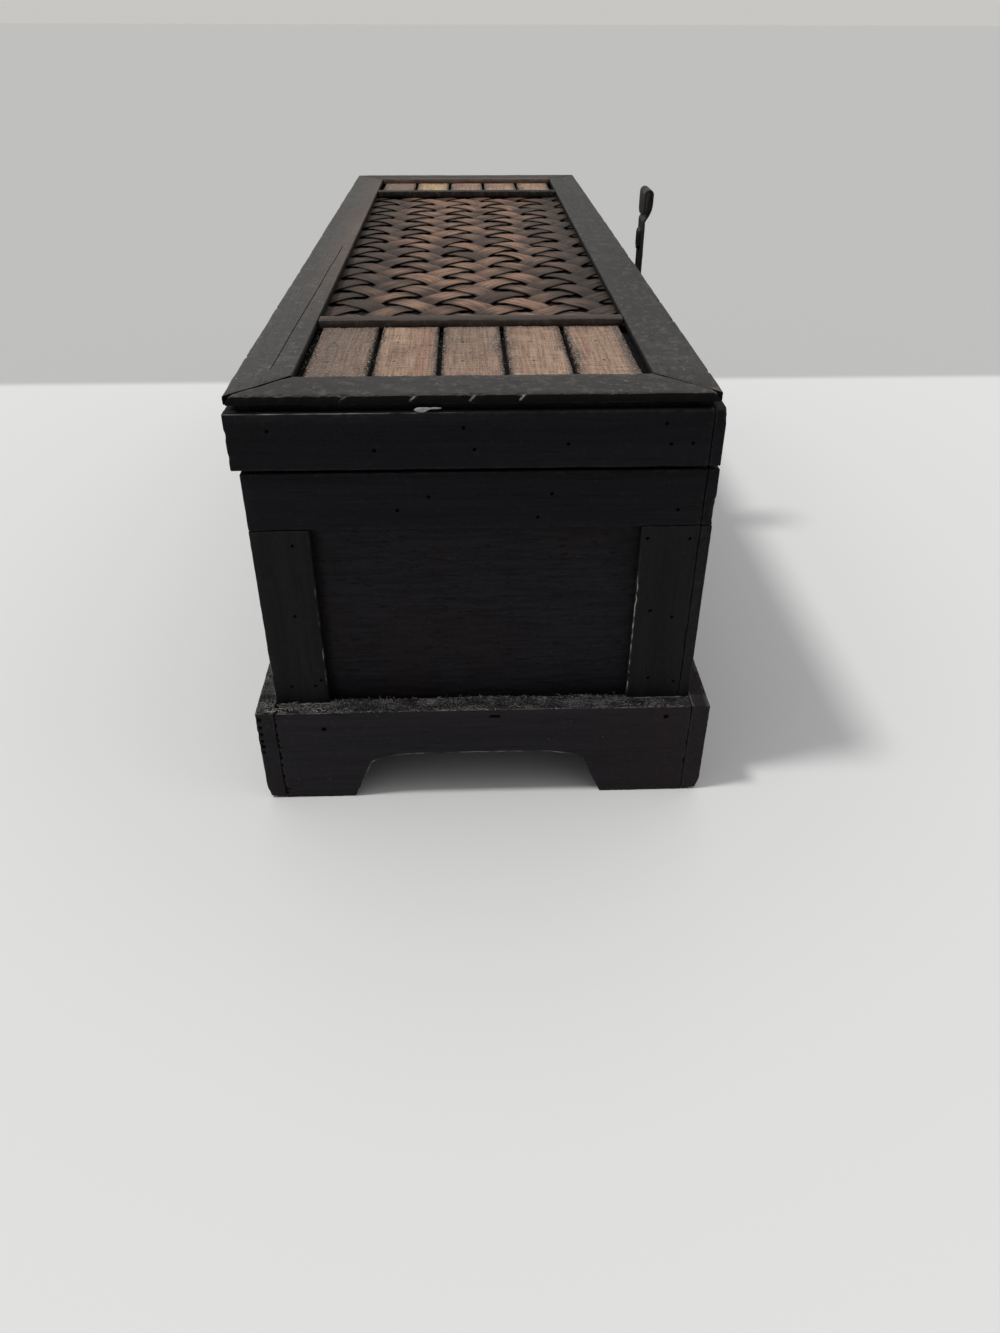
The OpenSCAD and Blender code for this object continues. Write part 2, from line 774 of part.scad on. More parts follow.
base_board("front");  // base_front
base_board("back");  // base_back
base_board("left");  // base_left
base_board("right");  // base_right
wall("front");  // wall_front
wall("back");  // wall_back
wall("left");  // wall_left
wall("right");  // wall_right
bottom();
band("front");  // band_front
band("back");  // band_back
band("left");  // band_left
band("right");  // band_right
stile("front", true);  // stile_front_left
stile("front", false);  // stile_front_right
stile("back", true);  // stile_back_right
stile("back", false);  // stile_back_left
stile("left", true);  // stile_left_back
stile("left", false);  // stile_left_front
stile("right", true);  // stile_right_front
stile("right", false);  // stile_right_back
lid_wall("front");  // lid_wall_front
lid_wall("back");  // lid_wall_back
lid_wall("left");  // lid_wall_left
lid_wall("right");  // lid_wall_right
rim("front");  // rim_front
rim("back");  // rim_back
rim("left");  // rim_left
rim("right");  // rim_right
lid_panel();
lid_packing();
rail("front");  // rail_front
rail("back");  // rail_back
rail("left");  // rail_left
rail("right");  // rail_right
crossbar(weave_lo - bar_w);  // crossbar_left
crossbar(weave_hi);  // crossbar_right
slats(left_slat_y, left_slat_l - slat_end_gap);  // slats_left
slats(right_slat_y, right_slat_l - 2 * slat_end_gap);  // slats_right
splints(true);  // splints_rising
splints(false);  // splints_falling
leaf(hinge_ys[0], false);  // hinge_left_box_leaf
leaf(hinge_ys[1], false);  // hinge_right_box_leaf
leaf(hinge_ys[0], true);  // hinge_left_lid_leaf
leaf(hinge_ys[1], true);  // hinge_right_lid_leaf
hinge_pin(hinge_ys[0]);  // hinge_left_pin
hinge_pin(hinge_ys[1]);  // hinge_right_pin
color(iron) hinge_screws();  // hinge_screws_box
color(iron) hinge_screws(lid = true);  // hinge_screws_lid
hasp_plate();
hasp_pin();
hasp_arm();
hasp_nails();
staple();
staple_nails();
brads_base();
brads_box();
brads_lid();
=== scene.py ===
import functools
import json
import math
import random

import bpy
import numpy as np
from mathutils import Matrix, Vector


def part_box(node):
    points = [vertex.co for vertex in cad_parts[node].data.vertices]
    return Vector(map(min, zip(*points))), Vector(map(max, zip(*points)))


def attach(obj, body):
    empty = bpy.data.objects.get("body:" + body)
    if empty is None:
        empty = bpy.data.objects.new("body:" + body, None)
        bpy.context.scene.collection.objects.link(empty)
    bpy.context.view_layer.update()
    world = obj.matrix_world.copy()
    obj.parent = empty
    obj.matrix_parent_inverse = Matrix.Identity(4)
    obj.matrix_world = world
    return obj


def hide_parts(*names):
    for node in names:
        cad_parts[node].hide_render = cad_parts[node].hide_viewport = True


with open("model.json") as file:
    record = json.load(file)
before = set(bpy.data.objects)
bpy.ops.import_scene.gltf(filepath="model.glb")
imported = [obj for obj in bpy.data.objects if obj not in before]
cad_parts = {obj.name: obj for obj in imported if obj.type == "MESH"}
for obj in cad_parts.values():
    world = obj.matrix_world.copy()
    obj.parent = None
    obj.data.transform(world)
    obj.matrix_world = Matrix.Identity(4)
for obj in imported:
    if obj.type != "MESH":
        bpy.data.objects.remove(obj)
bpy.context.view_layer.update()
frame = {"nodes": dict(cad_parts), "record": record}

MM = 0.001
X, Y, Z = 0, 1, 2
BODY_OF = {node: body for body, nodes in frame["record"]["behaviour"]["bodies"].items() for node in nodes}


def span(*nodes):
    """Lowest and highest corner of some CAD nodes, in millimetres."""
    low = np.min([np.array(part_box(n)[0]) for n in nodes], axis=0) / MM
    high = np.max([np.array(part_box(n)[1]) for n in nodes], axis=0) / MM
    return low, high


# Noise

def lattice(i, j, k, seed):
    """A fixed chance value from 0 to 1 for each whole-numbered place."""
    n = (i * 374761393 + j * 668265263 + k * 1442695041 + seed * 974634777) & 0xFFFFFFFF
    n = ((n ^ (n >> 13)) * 1274126177) & 0xFFFFFFFF
    return ((n ^ (n >> 16)) & 0xFFFF) / 65535.0


def noise(points, size, seed=0):
    """Smooth noise from -1 to 1 at each point, with bumps about this size in millimetres."""
    q = np.asarray(points, float) / np.asarray(size, float)
    cell = np.floor(q).astype(np.int64)
    f = q - cell
    f = f * f * (3 - 2 * f)
    total = np.zeros(len(q))
    for dx in (0, 1):
        for dy in (0, 1):
            for dz in (0, 1):
                weight = np.ones(len(q))
                for axis, d in enumerate((dx, dy, dz)):
                    weight *= f[:, axis] if d else 1 - f[:, axis]
                total += weight * lattice(cell[:, 0] + dx, cell[:, 1] + dy, cell[:, 2] + dz, seed)
    return total * 2 - 1


def ease(value, low, high):
    """0 at low and 1 at high, smoothly; low may be the larger."""
    t = np.clip((value - low) / (high - low), 0, 1)
    return t * t * (3 - 2 * t)


# Materials

class Nodes:
    """The nodes of a material or the world: each call adds some and gives back their output."""

    def __init__(self, owner, coordinates="Object"):
        owner.use_nodes = True
        self.owner, self.tree = owner, owner.node_tree
        self.tree.nodes.clear()
        self.point = self.node("ShaderNodeTexCoord").outputs[coordinates]
        self.colour = None

    def node(self, kind, inputs=None, **settings):
        node = self.tree.nodes.new(kind)
        for key, value in settings.items():
            setattr(node, key, value)
        for key, value in (inputs or {}).items():
            if isinstance(value, bpy.types.NodeSocket):
                self.tree.links.new(value, node.inputs[key])
            else:
                node.inputs[key].default_value = value
        return node

    def place(self, scale, shift=(0, 0, 0), point=None):
        """Coordinates times a number per metre, moved by shift."""
        scale = scale if isinstance(scale, tuple) else (scale,) * 3
        return self.node("ShaderNodeMapping", {
            "Vector": self.point if point is None else point, "Scale": scale, "Location": shift}).outputs[0]

    def noise(self, scale, detail, rough, shift=(0, 0, 0), warp=0.0, point=None):
        return self.node("ShaderNodeTexNoise", {
            "Vector": self.place(scale, shift, point), "Scale": 1.0, "Detail": float(detail),
            "Roughness": rough, "Distortion": warp}).outputs[0]

    def math(self, operation, a, b=0.0):
        return self.node("ShaderNodeMath", {0: a, 1: b}, operation=operation).outputs[0]

    def times(self, *values):
        return functools.reduce(lambda a, b: self.math("MULTIPLY", a, b), values)

    def plus(self, a, b):
        return self.math("ADD", a, b)

    def blend(self, a, share_a, b, share_b):
        return self.plus(self.times(a, share_a), self.times(b, share_b))

    def around(self, value, noise, amount):
        """A value with noise added, this much from end to end."""
        return self.plus(value, self.times(self.math("SUBTRACT", noise, 0.5), amount))

    def fit(self, value, low, high, to_low=0.0, to_high=1.0, smooth=True):
        return self.node("ShaderNodeMapRange", {
            "Value": value, "From Min": low, "From Max": high, "To Min": to_low, "To Max": to_high},
            interpolation_type="SMOOTHSTEP" if smooth else "LINEAR").outputs[0]

    def mix(self, factor, a, b):
        a, b = (c + (1.0,) if isinstance(c, tuple) else c for c in (a, b))
        return self.node("ShaderNodeMix", {0: factor, 6: a, 7: b}, data_type="RGBA").outputs[2]

    def over(self, new, *shares):
        """Lays a new colour over the one so far, by the product of some shares."""
        self.colour = self.mix(self.times(*shares), self.colour, new)

    def attribute(self, name, output="Fac"):
        return self.node("ShaderNodeAttribute", attribute_name=name).outputs[output]

    def part(self, axis, unit=MM):
        """One coordinate, in millimetres unless told."""
        parts = self.node("ShaderNodeSeparateXYZ", {0: self.point}).outputs[axis]
        return self.times(parts, 1 / unit)

    def specks(self, per_metre, radius, share, shift=(0, 0, 0)):
        """1 in small round specks, about one in each cell, in this share of the cells."""
        cells = self.node("ShaderNodeTexVoronoi", {"Vector": self.place(per_metre, shift), "Scale": 1.0})
        chance = self.node("ShaderNodeSeparateColor", {0: cells.outputs["Color"]})
        size = self.fit(chance.outputs[1], 0.0, 1.0, 0.4, 1.0, smooth=False)
        near = self.math("DIVIDE", cells.outputs["Distance"], size)
        return self.times(self.fit(near, radius * 0.6, radius, 1.0, 0.0),
                          self.math("LESS_THAN", chance.outputs[0], share))

    def finish(self, roughness, gloss, height=None, relief=0.0, metallic=0.0):
        """The surface, with bumps of this height whose relief is in metres. Gives the material."""
        inputs = {"Base Color": self.colour, "Roughness": roughness, "Specular IOR Level": gloss,
                  "Metallic": metallic}
        if height is not None:
            bump = self.node("ShaderNodeBump", {"Height": height, "Distance": relief, "Strength": 1.0})
            inputs["Normal"] = bump.outputs[0]
        self.node("ShaderNodeOutputMaterial", {0: self.node("ShaderNodeBsdfPrincipled", inputs).outputs[0]})
        return self.owner


def new_look(name):
    return Nodes(bpy.data.materials.new(name))


def stretched(along, across, lengthwise):
    return tuple(lengthwise if axis == along else across for axis in (X, Y, Z))


def scaled(colour, factor):
    return tuple(min(1.0, c * factor) for c in colour)


# Distance from the middle, in millimetres, over which a wall is painted darker beside its stile: a dark band
# in the wood, and painted shade
SHADE_FROM_TO = 42.4, 45.0


def wood(name, along, dark, light, worn, wear=0.5, dust=0.1, dust_colour=(0.2, 0.2, 0.2), rough=0.55,
         gloss=0.25, pores=0.5, coarse=0.55, stain=None, stain_share=0.0, tint=None, short=1.0,
         fleck=0.0, shade=0.0):
    """Stained wood with its grain along an axis: streaks, pores, worn edges, stains, dust and painted shade
    beside the stiles.

    The mesh's attributes say where it is worn, tinted (tone), torn, chalky or painted black: black joints,
    and painted shade in hollows and on shaded faces.
    """
    look = new_look(name)
    broad = look.noise(stretched(along, 190, 9), 5, 0.6, warp=0.4)
    fine = look.noise(stretched(along, 1100, 26 * short), 4, 0.7, (7, 3, 1))
    pore = look.fit(look.noise(stretched(along, 1900, 90 * short), 2, 0.5, (1, 9, 4)), 0.6, 0.72)
    streak = look.fit(look.blend(broad, coarse, fine, 1 - coarse), 0.34, 0.66)
    look.colour = look.mix(streak, dark, light)
    if stain is not None:
        look.over(stain, look.fit(look.noise(28, 3, 0.6, (4, 4, 9)), 0.5, 0.66), stain_share)
    if tint is not None:
        look.over(tint, look.attribute("tone"), look.fit(streak, 0, 1, 0.55, 1.0))
    look.over(scaled(dark, 0.35), pore, pores)
    edges = look.attribute("wear")
    rub = look.fit(look.around(edges, look.noise(420, 4, 0.65, (2, 8, 5)), 1.5), 0.72, 1.0)
    look.over(worn, rub, look.times(look.fit(edges, 0.02, 0.5), wear))
    look.over(dust_colour, look.fit(look.noise(900, 3, 0.7, (5, 1, 7)), 0.5, 0.8), dust)
    look.over(scaled(dust_colour, 1.8), look.specks(330, 0.1, 0.3), min(1.0, dust * 3.5))
    if fleck:
        mottle = look.fit(look.noise(420, 4, 0.75, (4, 7, 1)), 0.5, 0.66, 0.0, 0.45)
        scratch = look.noise(stretched(along, 900, 120), 3, 0.6, (8, 8, 2), warp=1.5)
        look.over(dust_colour, mottle, fleck)
        look.over(scaled(dust_colour, 1.7), look.specks(460, 0.17, 0.3, (3, 1, 2)), fleck)
        look.over(scaled(dark, 0.35), look.fit(scratch, 0.66, 0.74), fleck)
    # Painted shade beside the stiles, over a band that is darker in the wood too
    if shade:
        side = look.math("ABSOLUTE", look.part(X))
        ragged = look.times(look.noise((60, 60, 240), 3, 0.6, (3, 3, 3)), 4.0)
        beside = look.fit(look.plus(side, ragged), *SHADE_FROM_TO)
        look.over((0.002, 0.0018, 0.002), beside, shade)
    fuzz = look.blend(look.noise((2300, 1700, 2300), 5, 0.8, (2, 2, 6)), 0.75,
                      look.noise((170, 330, 170), 3, 0.6, (1, 1, 3)), 0.25)
    torn = look.mix(look.fit(fuzz, 0.47, 0.61), (0.005, 0.005, 0.005), (0.16, 0.156, 0.15))
    look.over(torn, look.attribute("torn"))
    # Painted black: dark joints, and painted shade in brad holes, chips, the crack, the slot and on the
    # rails' upright and inner faces
    black_and_shade = look.attribute("black_and_shade")
    look.over((0.0012, 0.0012, 0.0013), black_and_shade)
    chalk = look.attribute("chalk")
    patchy = look.fit(look.noise(stretched(along, 500, 200), 3, 0.6, (6, 4, 1)), 0.42, 0.56)
    patchy = look.math("MAXIMUM", patchy, look.fit(chalk, 0.75, 0.95))
    look.over((0.3, 0.28, 0.25), chalk, patchy)
    height = look.math("SUBTRACT", look.blend(fine, 0.7, broad, 0.8), look.times(pore, 0.6))
    roughness = look.fit(streak, 0.0, 1.0, rough - 0.08, rough + 0.08, smooth=False)
    return look.finish(look.math("MAXIMUM", roughness, black_and_shade), gloss, height, 0.00012)


def slat_wood():
    """Sanded and scorched slats: brown in the middle, burnt at the edges and painted with shade on their
    sides, with their own tones.
    """
    look = new_look("slat_wood")
    broad = look.noise((170, 12, 170), 4, 0.6, warp=0.3)
    fine = look.noise((1500, 45, 1500), 4, 0.75, (3, 1, 8))
    saw = look.noise((120, 2100, 120), 3, 0.65, (8, 2, 3))
    tone, singe = look.attribute("tone"), look.attribute("singe")
    streak = look.fit(look.blend(fine, 0.55, saw, 0.45), 0.33, 0.66)
    warm = look.mix(streak, (0.15, 0.084, 0.056), (0.49, 0.335, 0.235))
    yellow = look.mix(streak, (0.26, 0.17, 0.08), (0.66, 0.48, 0.27))
    dull = look.mix(streak, (0.065, 0.044, 0.036), (0.27, 0.185, 0.14))
    grey = look.mix(streak, (0.06, 0.055, 0.052), (0.15, 0.135, 0.12))
    singed = look.mix(streak, (0.05, 0.034, 0.027), (0.17, 0.12, 0.095))
    look.colour = look.mix(look.fit(tone, 0.0, 0.5, smooth=False), dull, warm)
    look.over(yellow, look.fit(tone, 0.6, 1.0, smooth=False))
    look.over((0.26, 0.12, 0.085), look.fit(broad, 0.52, 0.68), 0.55)
    look.over((0.12, 0.07, 0.055), look.fit(look.noise((60, 40, 60), 3, 0.6, (5, 5, 5)), 0.45, 0.7), 0.45)
    look.over(grey, look.attribute("grey"))
    look.over(singed, look.fit(singe, 0.0, 1.0, 0.0, 0.8))
    # Scorching at the edges, and painted shade on the sides below the top
    burn_and_shade = look.around(look.attribute("wear"), look.noise((700, 160, 700), 4, 0.7, (1, 6, 2)), 1.1)
    look.over((0.012, 0.009, 0.008), look.fit(burn_and_shade, 0.3, 0.9))
    look.over((0.05, 0.025, 0.018), look.fit(look.noise((1900, 420, 1900), 2, 0.6, (9, 9, 1)), 0.6, 0.7), 0.6)
    look.over((0.5, 0.41, 0.33), look.fit(look.noise((1500, 1300, 1500), 3, 0.8, (6, 2, 6)), 0.52, 0.62),
              look.fit(singe, 0.0, 1.0, 0.35, 0.7))
    look.over((0.62, 0.54, 0.44), look.specks(520, 0.13, 0.4), 0.6)
    return look.finish(0.78, 0.15, look.blend(fine, 0.8, saw, 0.35), 0.00022)


def splint_wood():
    """Split wood with lengthwise fibres; each splint has its own tone, with painted highlights and painted
    shade along it.
    """
    look = new_look("splint_wood")
    # Fibres run along the splint, whose own coordinates come with its mesh
    own = look.attribute("lie", "Vector")
    fibres = look.noise((0.06, 1.5, 1.0), 5, 0.7, point=own)
    patch = look.noise((0.06, 0.22, 1.0), 3, 0.6, point=own)
    tone = look.around(look.attribute("tone"), patch, 0.9)
    streak = look.fit(fibres, 0.4, 0.6)
    low = look.mix(streak, (0.026, 0.017, 0.0135), (0.115, 0.078, 0.06))
    high = look.mix(streak, (0.085, 0.047, 0.034), (0.42, 0.25, 0.168))
    grey = look.mix(streak, (0.018, 0.0145, 0.013), (0.085, 0.064, 0.052))
    # The weave is greyer towards the front and the back
    side = look.math("ABSOLUTE", look.plus(look.part(X), 1.5))
    look.colour = look.mix(look.fit(tone, 0.2, 0.95), low, high)
    look.over(grey, look.fit(side, 18.0, 40.0, 0.0, 0.85))
    look.over((0.02, 0.013, 0.011), look.fit(fibres, 0.6, 0.68, 0.0, 0.75))
    # Painted shade from the wear attribute: under crossings, along the edges and on the underside
    look.over((0.016, 0.012, 0.011), look.attribute("wear"), 0.75)
    look.over((0.4, 0.36, 0.31), look.specks(360, 0.08, 0.16), 0.4)
    return look.finish(look.fit(streak, 0.0, 1.0, 0.5, 0.64, smooth=False), 0.14, fibres, 0.0005)


def black_iron():
    """Blackened sheet iron with a little rust and dust."""
    look = new_look("black_iron")
    patch = look.noise(260, 5, 0.65)
    grain = look.noise(1500, 3, 0.6, (3, 3, 3))
    look.colour = look.mix(look.fit(grain, 0.3, 0.7), (0.006, 0.006, 0.0065), (0.02, 0.019, 0.018))
    look.over((0.045, 0.022, 0.012), look.fit(patch, 0.55, 0.75), 0.25)
    look.over((0.2, 0.19, 0.18), look.specks(500, 0.1, 0.2), 0.3)
    height = look.plus(patch, look.times(grain, 0.4))
    return look.finish(look.fit(patch, 0.3, 0.7, 0.42, 0.62), 0.4, height, 0.0002, metallic=0.5)


def plain_rough(name, low, high, size, gloss=0.1):
    """A matt look with a fine grain between two colours."""
    look = new_look(name)
    grain = look.noise(size, 4, 0.7)
    look.colour = look.mix(look.fit(grain, 0.3, 0.7), low, high)
    return look.finish(0.9, gloss, grain, 0.0002)


BLACK = dict(wear=0.3, dust=0.025, gloss=0.07)
# The rails are pale grey: dust, and painted sheen of a glancing reflection on their tops; their upright faces
# are painted black as shade
RAIL = dict(gloss=0.14, coarse=0.4, stain_share=0.4, wear=0.25, short=2.0)
DUSTY_RAIL = dict(dust=0.1, dust_colour=(0.17, 0.165, 0.155), stain=(0.072, 0.062, 0.055), fleck=0.7, **RAIL)
RAIL_COLOURS_WITH_SHEEN = (0.026, 0.0248, 0.0236), (0.049, 0.0464, 0.0438), (0.1, 0.075, 0.058)
BLACK_WORN = (0.034, 0.031, 0.029)
looks = {"stile_z": wood("stile_wood_z", Z, (0.0076, 0.0069, 0.0082), (0.0134, 0.0122, 0.0142), BLACK_WORN,
                         coarse=0.7, pores=0.3, **BLACK)}
for axis, letter in ((X, "x"), (Y, "y")):
    looks["board_" + letter] = wood("stained_wood_" + letter, axis, (0.0034, 0.0032, 0.0044),
                                    (0.0088, 0.0081, 0.0102), BLACK_WORN, **BLACK)
    looks["base_" + letter] = wood(
        "base_wood_" + letter, axis, (0.0103, 0.0091, 0.0108), (0.021, 0.0182, 0.0214), (0.05, 0.042, 0.038),
        wear=0.3, dust=0.045, gloss=0.08, stain=(0.02, 0.0135, 0.014), stain_share=0.7)
    looks["rail_" + letter] = wood("worn_wood_" + letter, axis, *RAIL_COLOURS_WITH_SHEEN, tint=(0.13, 0.095, 0.075),
                                   **DUSTY_RAIL)
    looks["ply_" + letter] = wood(
        "dark_plywood_" + letter, axis, (0.0074, 0.0068, 0.0084), (0.016, 0.0146, 0.0174),
        (0.03, 0.02, 0.015), wear=0.1, dust=0.035, gloss=0.06, pores=0.8, coarse=0.15,
        stain=(0.0185, 0.011, 0.0102), stain_share=0.4, short=4.0, shade=0.75 if axis == X else 0.0)
# The far rail's pale tint is painted light on its face towards the slats
looks["rail_far"] = wood("worn_wood_far_painted_light", X, *RAIL_COLOURS_WITH_SHEEN, tint=(0.34, 0.23, 0.165), **DUSTY_RAIL)
looks["rail_back"] = wood(
    "worn_wood_light", Y, (0.044, 0.042, 0.04), (0.078, 0.074, 0.07), (0.12, 0.09, 0.07), dust=0.12,
    dust_colour=(0.2, 0.19, 0.18), stain=(0.1, 0.088, 0.078), tint=(0.15, 0.105, 0.083), fleck=0.6, **RAIL)
# The far crossbar is a darker copy of the near one's wood: painted shade
for key, name, dark, light in (
        ("bar_left", "crossbar_wood", (0.034, 0.022, 0.018), (0.066, 0.047, 0.039)),
        ("bar_right", "crossbar_wood_painted_shade", (0.009, 0.0075, 0.007), (0.02, 0.016, 0.0145))):
    looks[key] = wood(name, X, dark, light, (0.1, 0.088, 0.076), dust=0.09, dust_colour=(0.12, 0.11, 0.1))
looks["slat"] = slat_wood()
looks["splint"] = splint_wood()
looks["iron"] = black_iron()
looks["brad"] = plain_rough("blackened_brad", (0.001, 0.001, 0.001), (0.003, 0.003, 0.003), 900, 0.03)
looks["lint"] = plain_rough("lint", (0.16, 0.155, 0.145), (0.5, 0.48, 0.44), 400)
looks["crumb"] = plain_rough("crumb", (0.04, 0.034, 0.028), (0.3, 0.26, 0.2), 260)
looks["glue"] = plain_rough("glue", (0.2, 0.2, 0.2), (0.36, 0.36, 0.36), 500, 0.3)


# Meshes

def build(name, points, faces, look, body, nodes=(), attributes=None, sharp=35):
    """A mesh from points in millimetres, on a body, in the place of some CAD nodes."""
    mesh = bpy.data.meshes.new(name)
    places = [tuple(p) for p in np.asarray(points) * MM]
    mesh.from_pydata(places, [], [tuple(int(i) for i in f) for f in faces])
    mesh.polygons.foreach_set("use_smooth", [True] * len(mesh.polygons))
    for key, values in (attributes or {}).items():
        values = np.asarray(values, float)
        kind, field = ("FLOAT", "value") if values.ndim == 1 else ("FLOAT_VECTOR", "vector")
        mesh.attributes.new(key, kind, "POINT").data.foreach_set(field, values.ravel())
    mesh.validate()
    mesh.update()
    mesh.set_sharp_from_angle(angle=math.radians(sharp))
    mesh.materials.append(look)
    obj = bpy.data.objects.new(name, mesh)
    bpy.context.scene.collection.objects.link(obj)
    if nodes:
        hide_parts(*nodes)
    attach(obj, body)


def joined(meshes):
    """One set of points and faces from several."""
    points, faces, start = [], [], 0
    for p, f in meshes:
        points.append(np.asarray(p))
        faces.extend([[i + start for i in face] for face in f])
        start += len(p)
    return np.concatenate(points), faces


def grid_faces(index):
    """Faces between the neighbours in a grid of points' numbers."""
    return np.stack([index[:-1, :-1], index[1:, :-1], index[1:, 1:], index[:-1, 1:]], axis=-1).reshape(-1, 4)


def slab_faces(n, m):
    """Faces of a closed sheet, whose points are a grid on top and then the same grid below."""
    index = np.arange(n * m).reshape(n, m)
    quads = grid_faces(index)
    faces = quads.tolist() + (quads[:, ::-1] + n * m).tolist()
    for line in (index[:, 0], index[::-1, -1], index[0, ::-1], index[-1]):
        faces += np.stack([line[:-1], line[:-1] + n * m, line[1:] + n * m, line[1:]], axis=-1).tolist()
    return faces


def tube_faces(rings, around):
    """Faces of a closed tube, whose points are rings one after the other."""
    index = np.arange(rings * around).reshape(rings, around)
    sides = grid_faces(np.pad(index, ((0, 0), (0, 1)), mode="wrap"))
    return sides.tolist() + [index[0].tolist(), index[-1, ::-1].tolist()]


def grid_lines(low, high, radius, step, extra):
    """Places of the grid's lines: close together at the rounded edges and at the extra places."""
    count = max(1, int(round((high - low - 2 * radius) / step)))
    values = [low, low + 0.45 * radius, high - 0.45 * radius, high]
    values += list(np.linspace(low + radius, high - radius, count + 1))
    values += [v for v in extra if low < v < high]
    kept = []
    for v in sorted(values):
        if not kept or v - kept[-1] > 0.04:
            kept.append(v)
    kept[-1] = high
    return np.array(kept)


def shell(xs, ys, zs):
    """Points and faces of the skin of a block that is cut into a grid."""
    shape = (len(xs), len(ys), len(zs))
    sides = [(axis, end, tuple(end if a == axis else slice(None) for a in (X, Y, Z)))
             for axis in (X, Y, Z) for end in (0, -1)]
    skin = np.zeros(shape, bool)
    for _, _, side in sides:
        skin[side] = True
    ids = np.argwhere(skin)
    index = -np.ones(shape, int)
    index[skin] = np.arange(len(ids))
    faces = []
    for axis, end, side in sides:
        quads = grid_faces(index[side])
        faces.extend((quads[:, ::-1] if (end == -1) == (axis == Y) else quads).tolist())
    return np.stack([xs[ids[:, 0]], ys[ids[:, 1]], zs[ids[:, 2]]], axis=1), faces


def loose_parts(node):
    """The box of each separate solid of a CAD node, in millimetres."""
    mesh = frame["nodes"][node].data
    points = np.array([v.co[:] for v in mesh.vertices]) / MM
    _, same = np.unique(np.round(points, 3), axis=0, return_inverse=True)
    same = same.ravel()
    parent = np.arange(same.max() + 1)

    def root(i):
        while parent[i] != i:
            parent[i] = parent[parent[i]]
            i = parent[i]
        return i

    for edge in mesh.edges:
        a, b = (root(same[v]) for v in edge.vertices)
        parent[a] = b
    groups = {}
    for i, s in enumerate(same):
        groups.setdefault(root(s), []).append(i)
    return [(points[g].min(axis=0), points[g].max(axis=0)) for g in groups.values()]


BRADS = [box for node in ("brads_base", "brads_box", "brads_lid") for box in loose_parts(node)]
BRAD_SUNK, PIT_DEPTH = 0.5, 0.56
# Grid lines across a pit, as shares of its width, and across a chip, as shares of its radius
PIT_LINES = (-0.62, -0.5, -0.3, 0, 0.3, 0.5, 0.62)
CHIP_LINES = (-1, -0.66, -0.33, 0, 0.33, 0.66, 1)
CRACK_HALF, CRACK_WANDER, CRACK_RIPPLE = 0.16, 0.1, 19.0
ON_FACE = 1e-6


def pits_of(low, high):
    """Brad holes in a board: (axis, side, middle) for each."""
    pits = []
    for a, b in BRADS:
        axis = int(np.argmax(b - a))
        middle = (a + b) / 2
        if not all(low[n] + 0.7 < middle[n] < high[n] - 0.7 for n in (X, Y, Z) if n != axis):
            continue
        if abs(high[axis] - b[axis] - BRAD_SUNK) < 0.2:
            pits.append((axis, 1, middle))
        elif abs(a[axis] - low[axis] - BRAD_SUNK) < 0.2:
            pits.append((axis, -1, middle))
    return pits


